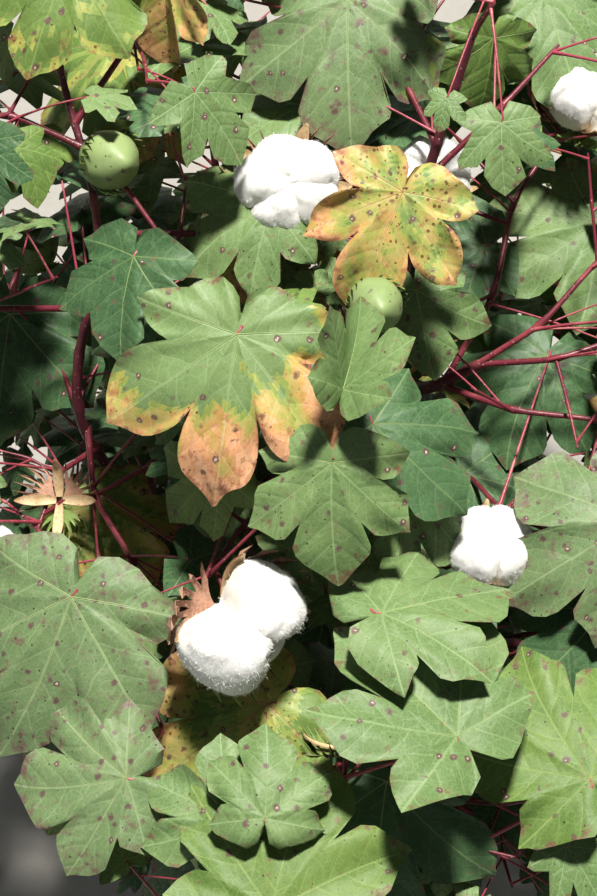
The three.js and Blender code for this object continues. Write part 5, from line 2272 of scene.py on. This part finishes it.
@dataclass
class Bolls:
    """The open bolls with their lint and dry claws, the green bolls in bracts, and the empty burs."""

    lock_out: float = 0.39
    lock_half: float = 0.6
    lock_tall: float = 0.64
    lock_fill: float = 1.35
    lock_full: float = 0.78
    lock_wedge: float = 0.55
    puff: float = 0.11
    puff_size: float = 1.4
    shown_fibres: int = 4500
    fibres: int = 500
    fibre_half: float = 0.0055
    fibre_least: float = 0.02
    fibre_more: float = 0.08
    claw_reach: float = 1.24
    claw_width: float = 0.17
    husk_half: float = 0.4
    bract_half: float = 0.22
    teeth: float = 3.5

    @staticmethod
    def stand(fruit: Fruit, turn: np.ndarray | float, out: np.ndarray, forward: np.ndarray) -> Points:
        """Places round a boll's axis, from their turn in radians and half widths out and forward.

        Args:
            fruit: The boll.
            turn: The turn round its axis.
            out: How far out.
            forward: How far forward.

        Returns:
            One row for each place.
        """
        first, second = fruit.across()
        turn = np.broadcast_to(turn, np.shape(out))
        ways = np.cos(turn)[:, None] * first + np.sin(turn)[:, None] * second
        return fruit.at + fruit.size * (out[:, None] * ways + forward[:, None] * fruit.faces)

    def fibre_form(self, count: int) -> Form:
        """So many short thin fibres all over a ball.

        Args:
            count: How many fibres.

        Returns:
            The form.
        """
        shape = bmesh.new()
        chance = np.random.default_rng(5)
        for _ in range(count):
            way = unit(chance.normal(size=3))
            lean = unit(way + 0.7 * chance.normal(size=3))
            turn = Vector((0, 1, 0)).rotation_difference(Vector(lean)).to_matrix().to_4x4()
            half = self.fibre_least + self.fibre_more * chance.random() ** 3
            matrix = Matrix.Translation(Vector(way) + Vector(lean) * (half * 0.3)) @ turn
            spin = Matrix.Rotation(chance.uniform(0, math.pi), 4, "Y")
            matrix @= spin @ Matrix.Diagonal((self.fibre_half, half, 1, 1))
            bmesh.ops.create_circle(shape, cap_ends=True, segments=3, radius=1, matrix=matrix)
        return Form(shape)

    def lock_places(self, form: Form, fruit: Fruit, k: int, seed: int, stride: int = 1) -> Points:
        """Where a ball's vertices stand as one lock of lint.

        Args:
            form: The ball, or its fibres.
            fruit: The boll.
            k: The lock's number.
            seed: The source of its puffs.
            stride: How many vertices in a row move as one.

        Returns:
            The vertices' places.
        """
        far = np.linalg.norm(form.rest, axis=1)
        ways = form.rest / far[:, None]
        chance = np.random.default_rng(seed)
        away, big = chance.uniform(-50, 50, 3), chance.uniform(0.95, 1.08) * fruit.fill[k]
        spots = ways[::stride]
        cream_and_crease_shade = np.array([noise.voronoi(Vector(way * self.puff_size + away))[0][0] for way in spots])
        rough = np.array([noise.fractal(Vector(way * 3 + away), 1, 2, 3) for way in spots])
        fine = np.array([noise.fractal(Vector(way * 11 + away), 1, 2, 2) for way in spots])
        swell = 1.04 - self.puff * cream_and_crease_shade**2 + 0.03 * rough + 0.012 * fine
        grow = far * big * np.repeat(swell, stride)
        out = self.lock_out + ways[:, 0] * grow * self.lock_half
        wedge = math.tan(math.pi / fruit.locks) * self.lock_fill * np.clip(out, 0.12, self.lock_full)
        share = self.lock_wedge * (fruit.locks - 3) / 2
        aside = ways[:, 1] * grow * between(self.lock_half * 4 / fruit.locks, wedge, share)
        forward = ways[:, 2] * grow * self.lock_tall - 0.14 * np.maximum(0, out - 0.5)
        turn = (k + 0.5) * 2 * math.pi / fruit.locks + chance.uniform(-0.08, 0.08)
        return self.stand(fruit, turn + np.arctan2(aside, out), np.hypot(out, aside), forward)

    def claw(self, fruit: Fruit, k: int, across: np.ndarray, along: np.ndarray) -> Points:
        """The surface of one dry claw.

        Args:
            fruit: The boll.
            k: The claw's number.
            across: Values across, from -1 to 1.
            along: Values along, from 0 to 1.

        Returns:
            One row for each place.
        """
        turn = k * 2 * math.pi / fruit.locks
        out = 0.1 + (self.claw_reach - 0.1) * np.sin(np.clip(along, 0, 1.02) * math.pi / 2) ** 0.9
        forward = -0.64 + 0.8 * along**1.5 - 1.4 * np.maximum(0, along - 0.82) ** 1.2
        bulge = np.maximum(0, np.sin(math.pi * (0.16 + 0.84 * along)))
        half = self.claw_width * bulge**0.8 * (1 - np.minimum(1, along) ** 2) ** 0.8 + 0.012
        side = across * half
        cup = 0.3 * across**2 * half
        return self.stand(fruit, turn + np.arctan2(side, out), np.hypot(out, side), forward + cup)

    def bract(self, fruit: Fruit, k: int, dry: bool, across: np.ndarray, along: np.ndarray) -> Points:
        """The surface of one toothed bract, spread and withered when dry.

        Args:
            fruit: The boll.
            k: The bract's number.
            dry: Whether it is dry.
            across: Values across, from -1 to 1.
            along: Values along, from 0 to 1.

        Returns:
            One row for each place.
        """
        turn = (k + 0.3) * 2 * math.pi / 3
        chance = np.random.default_rng(int(abs(fruit.at[0] * 7 + fruit.at[1])) + k)
        curl, lean = chance.uniform(0.1, 0.5), chance.uniform(-0.2, 0.2)
        tooth = np.abs(2 * ((across * self.teeth) % 1) - 1)
        v = along * (0.36 + 0.64 * tooth**2.2 * (1 - 0.45 * across**2))
        spread = 0.85 * np.sin(math.pi * (0.12 + 0.6 * v))
        angle = turn + across * spread + (0.25 * lean * v if dry else 0)
        if dry:
            out = 0.15 + 1.45 * v - 0.9 * np.maximum(0, v - 0.75)
            forward = -0.78 + 0.1 * v + curl * v**2 - 0.12 * across**2 * v + 1.2 * np.maximum(0, v - 0.6)
        else:
            out = 0.2 + 1.02 * np.sin(np.minimum(1, v * 1.1) * math.pi / 2) - 0.1 * v**3
            forward = -1.12 + 1.8 * v - 0.16 * across**2
        return self.stand(fruit, angle, out, forward)

    def green_places(self, form: Form, fruit: Fruit) -> Points:
        """Where a ball's vertices stand as a green boll, egg shaped with a beak and four seams.

        Args:
            form: The ball.
            fruit: The boll.

        Returns:
            One row for each vertex.
        """
        x, y, z = form.rest.T
        turn = np.arctan2(y, x)
        seam = 1 - 0.035 * np.abs(np.cos(2 * turn)) ** 12
        out = np.hypot(x, y) * 1.02 * seam * (1 - 0.16 * np.maximum(0, z) ** 2)
        return self.stand(fruit, turn, out, z * 1.14 + 0.18 * np.maximum(0, z) ** 9)

    def build(self, growth: Growth) -> None:
        """Makes the lint, the husks and the green bolls.

        Args:
            growth: The plant.
        """
        husk = HuskFinish("husk_outside", "a88460", "7c5a3e").material()
        inner = HuskFinish("husk_inside", "dcc29a", "c6a277").material()
        dry = HuskFinish("bract_dry", "d0a288", "a67c66").material()
        leafy = LeafFinish("bract_green", "6a8840", "7f954c", "98a862", 0.3, 0.1, veined=False).material()
        skin = LeafFinish("boll_green", "7f9560", "8fa26b", "869a62", 0.5, 0.3, 0.42, 0.12, veined=False)
        lint = Pile("lint", [LintFinish("lint", 0.5).material()])
        fibres = Pile("lint_fibres", [LintFinish("lint_fibres", 0).material()])
        husks = Pile("husks", [husk, inner, dry, leafy])
        greens = Pile("green_bolls", [skin.material()])
        fine, ball = ball_form(5), ball_form(4)
        dense, sparse = self.fibre_form(self.shown_fibres), self.fibre_form(self.fibres)
        claw, bract = sheet_form(8, 12), sheet_form(42, 5)
        side = np.where(claw.facing[:, 2] < 0, 1, 0)
        fruits = [(fruit, node) for node in growth.nodes for fruit, _ in node.fruits]
        shown = [plan.at for plan in SHOWN_BOLLS]
        for fruit, node in fruits:
            seed = LOCK_SEED + node.seed
            if fruit.kind is Kind.OPEN:
                body, fibre = (fine, dense) if tuple(fruit.at) in shown else (ball, sparse)
                for k in range(fruit.locks):
                    if fruit.fill[k]:
                        lint.add(body, self.lock_places(body, fruit, k, seed + 20 * k))
                        fibres.add(fibre, self.lock_places(fibre, fruit, k, seed + 20 * k, 3))
            if fruit.kind is Kind.GREEN:
                greens.add(ball, self.green_places(ball, fruit))
            else:
                for k in range(fruit.locks):
                    husks.add(claw, draped(claw, partial(self.claw, fruit, k), self.husk_half), side)
            for k in range(3):
                dead = fruit.kind is not Kind.GREEN
                slots = np.full(len(bract.slots), 2 if dead and (k + node.seed) % 3 else 3)
                surface = partial(self.bract, fruit, k, dead)
                husks.add(bract, draped(bract, surface, self.bract_half), slots)
        lint.finish("foliage", crease=180)
        fibres.finish("foliage", crease=180)
        husks.finish("foliage")
        greens.finish("foliage")


@dataclass(frozen=True)
class Lamp:
    """One soft lamp: the way to it from the plant's middle, its distance, size, power and colour."""

    name: str
    way: tuple[float, float, float]
    far: float
    size: float
    power: float
    colour: tuple[float, float, float] = (1, 1, 1)


@dataclass
class Studio:
    """The floor, the lamps and the camera."""

    middle: tuple[float, float, float] = (0, 0, 0.45)
    floor_half: float = 5
    lens: float = 65.4
    sensor: float = 36
    nearest: float = 0.01
    tilt: float = 30
    sky: str = "e9eef5"
    sky_strength: float = 0.1
    lamps: tuple[Lamp, ...] = (
        Lamp("key", (0.06, 0.24, 1.2), 4.2, 0.4, 365, (1, 0.965, 0.9)),
        Lamp("fill", (-0.8, -0.75, 0.3), 3.6, 2.4, 10, (0.92, 0.96, 1)),
        Lamp("back_fill", (-0.2, 1, 0.25), 3.6, 2.4, 10, (0.92, 0.96, 1)),
    )

    def build(self) -> None:
        """Makes the floor, the lamps and the camera."""
        shape = bmesh.new()
        bmesh.ops.create_grid(shape, x_segments=4, y_segments=4, size=self.floor_half)
        mesh = bpy.data.meshes.new("floor")
        shape.to_mesh(mesh)
        shape.free()
        mesh.materials.append(FloorFinish().material())
        floor = bpy.data.objects.new("floor", mesh)
        bpy.context.scene.collection.objects.link(floor)
        for lamp in self.lamps:
            data = bpy.data.lights.new(lamp.name, "AREA")
            data.energy, data.size, data.color = lamp.power, lamp.size, lamp.colour
            item = bpy.data.objects.new(lamp.name, data)
            way = Vector(lamp.way).normalized()
            item.location = Vector(self.middle) + way * lamp.far
            item.rotation_euler = way.to_track_quat("Z", "Y").to_euler()
            bpy.context.scene.collection.objects.link(item)
        world = bpy.data.worlds.new("studio")
        world.use_nodes = True
        back = world.node_tree.nodes["Background"]
        back.inputs["Color"].default_value = linear(self.sky)
        back.inputs["Strength"].default_value = self.sky_strength
        bpy.context.scene.world = world
        data = bpy.data.cameras.new("camera")
        data.lens, data.sensor_width, data.clip_start = self.lens, self.sensor, self.nearest
        camera = bpy.data.objects.new("camera", data)
        camera.location = Vector(ONLOOKER.eye) * MM
        camera.rotation_euler = (self.tilt * TURN, 0, 0)
        bpy.context.scene.collection.objects.link(camera)
        bpy.context.scene.camera = camera
        bpy.context.scene.view_settings.view_transform = "Standard"
        LOG.info("studio: %d lamps", len(self.lamps))


def main() -> None:
    """Builds the plant over its frame, then the studio."""
    logging.basicConfig(level=logging.INFO, format="%(relativeCreated)6d ms %(message)s")
    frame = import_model()
    limbs = [name for name in frame["nodes"] if "_spray_" not in name]
    sprays = [name for name in frame["nodes"] if "_spray_" in name]
    growth = Growth()
    LOG.info("growth: %d nodes", len(growth.nodes))
    finer = FinerGrowth(growth)
    LOG.info("finer growth: %d twigs, %d nodes", len(finer.twigs), len(finer.nodes))
    Stems().build(growth, finer, limbs)
    Foliage().build(growth, finer, sprays)
    Bolls().build(growth)
    Studio().build()
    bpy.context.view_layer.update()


if __name__ == "__main__":
    main()
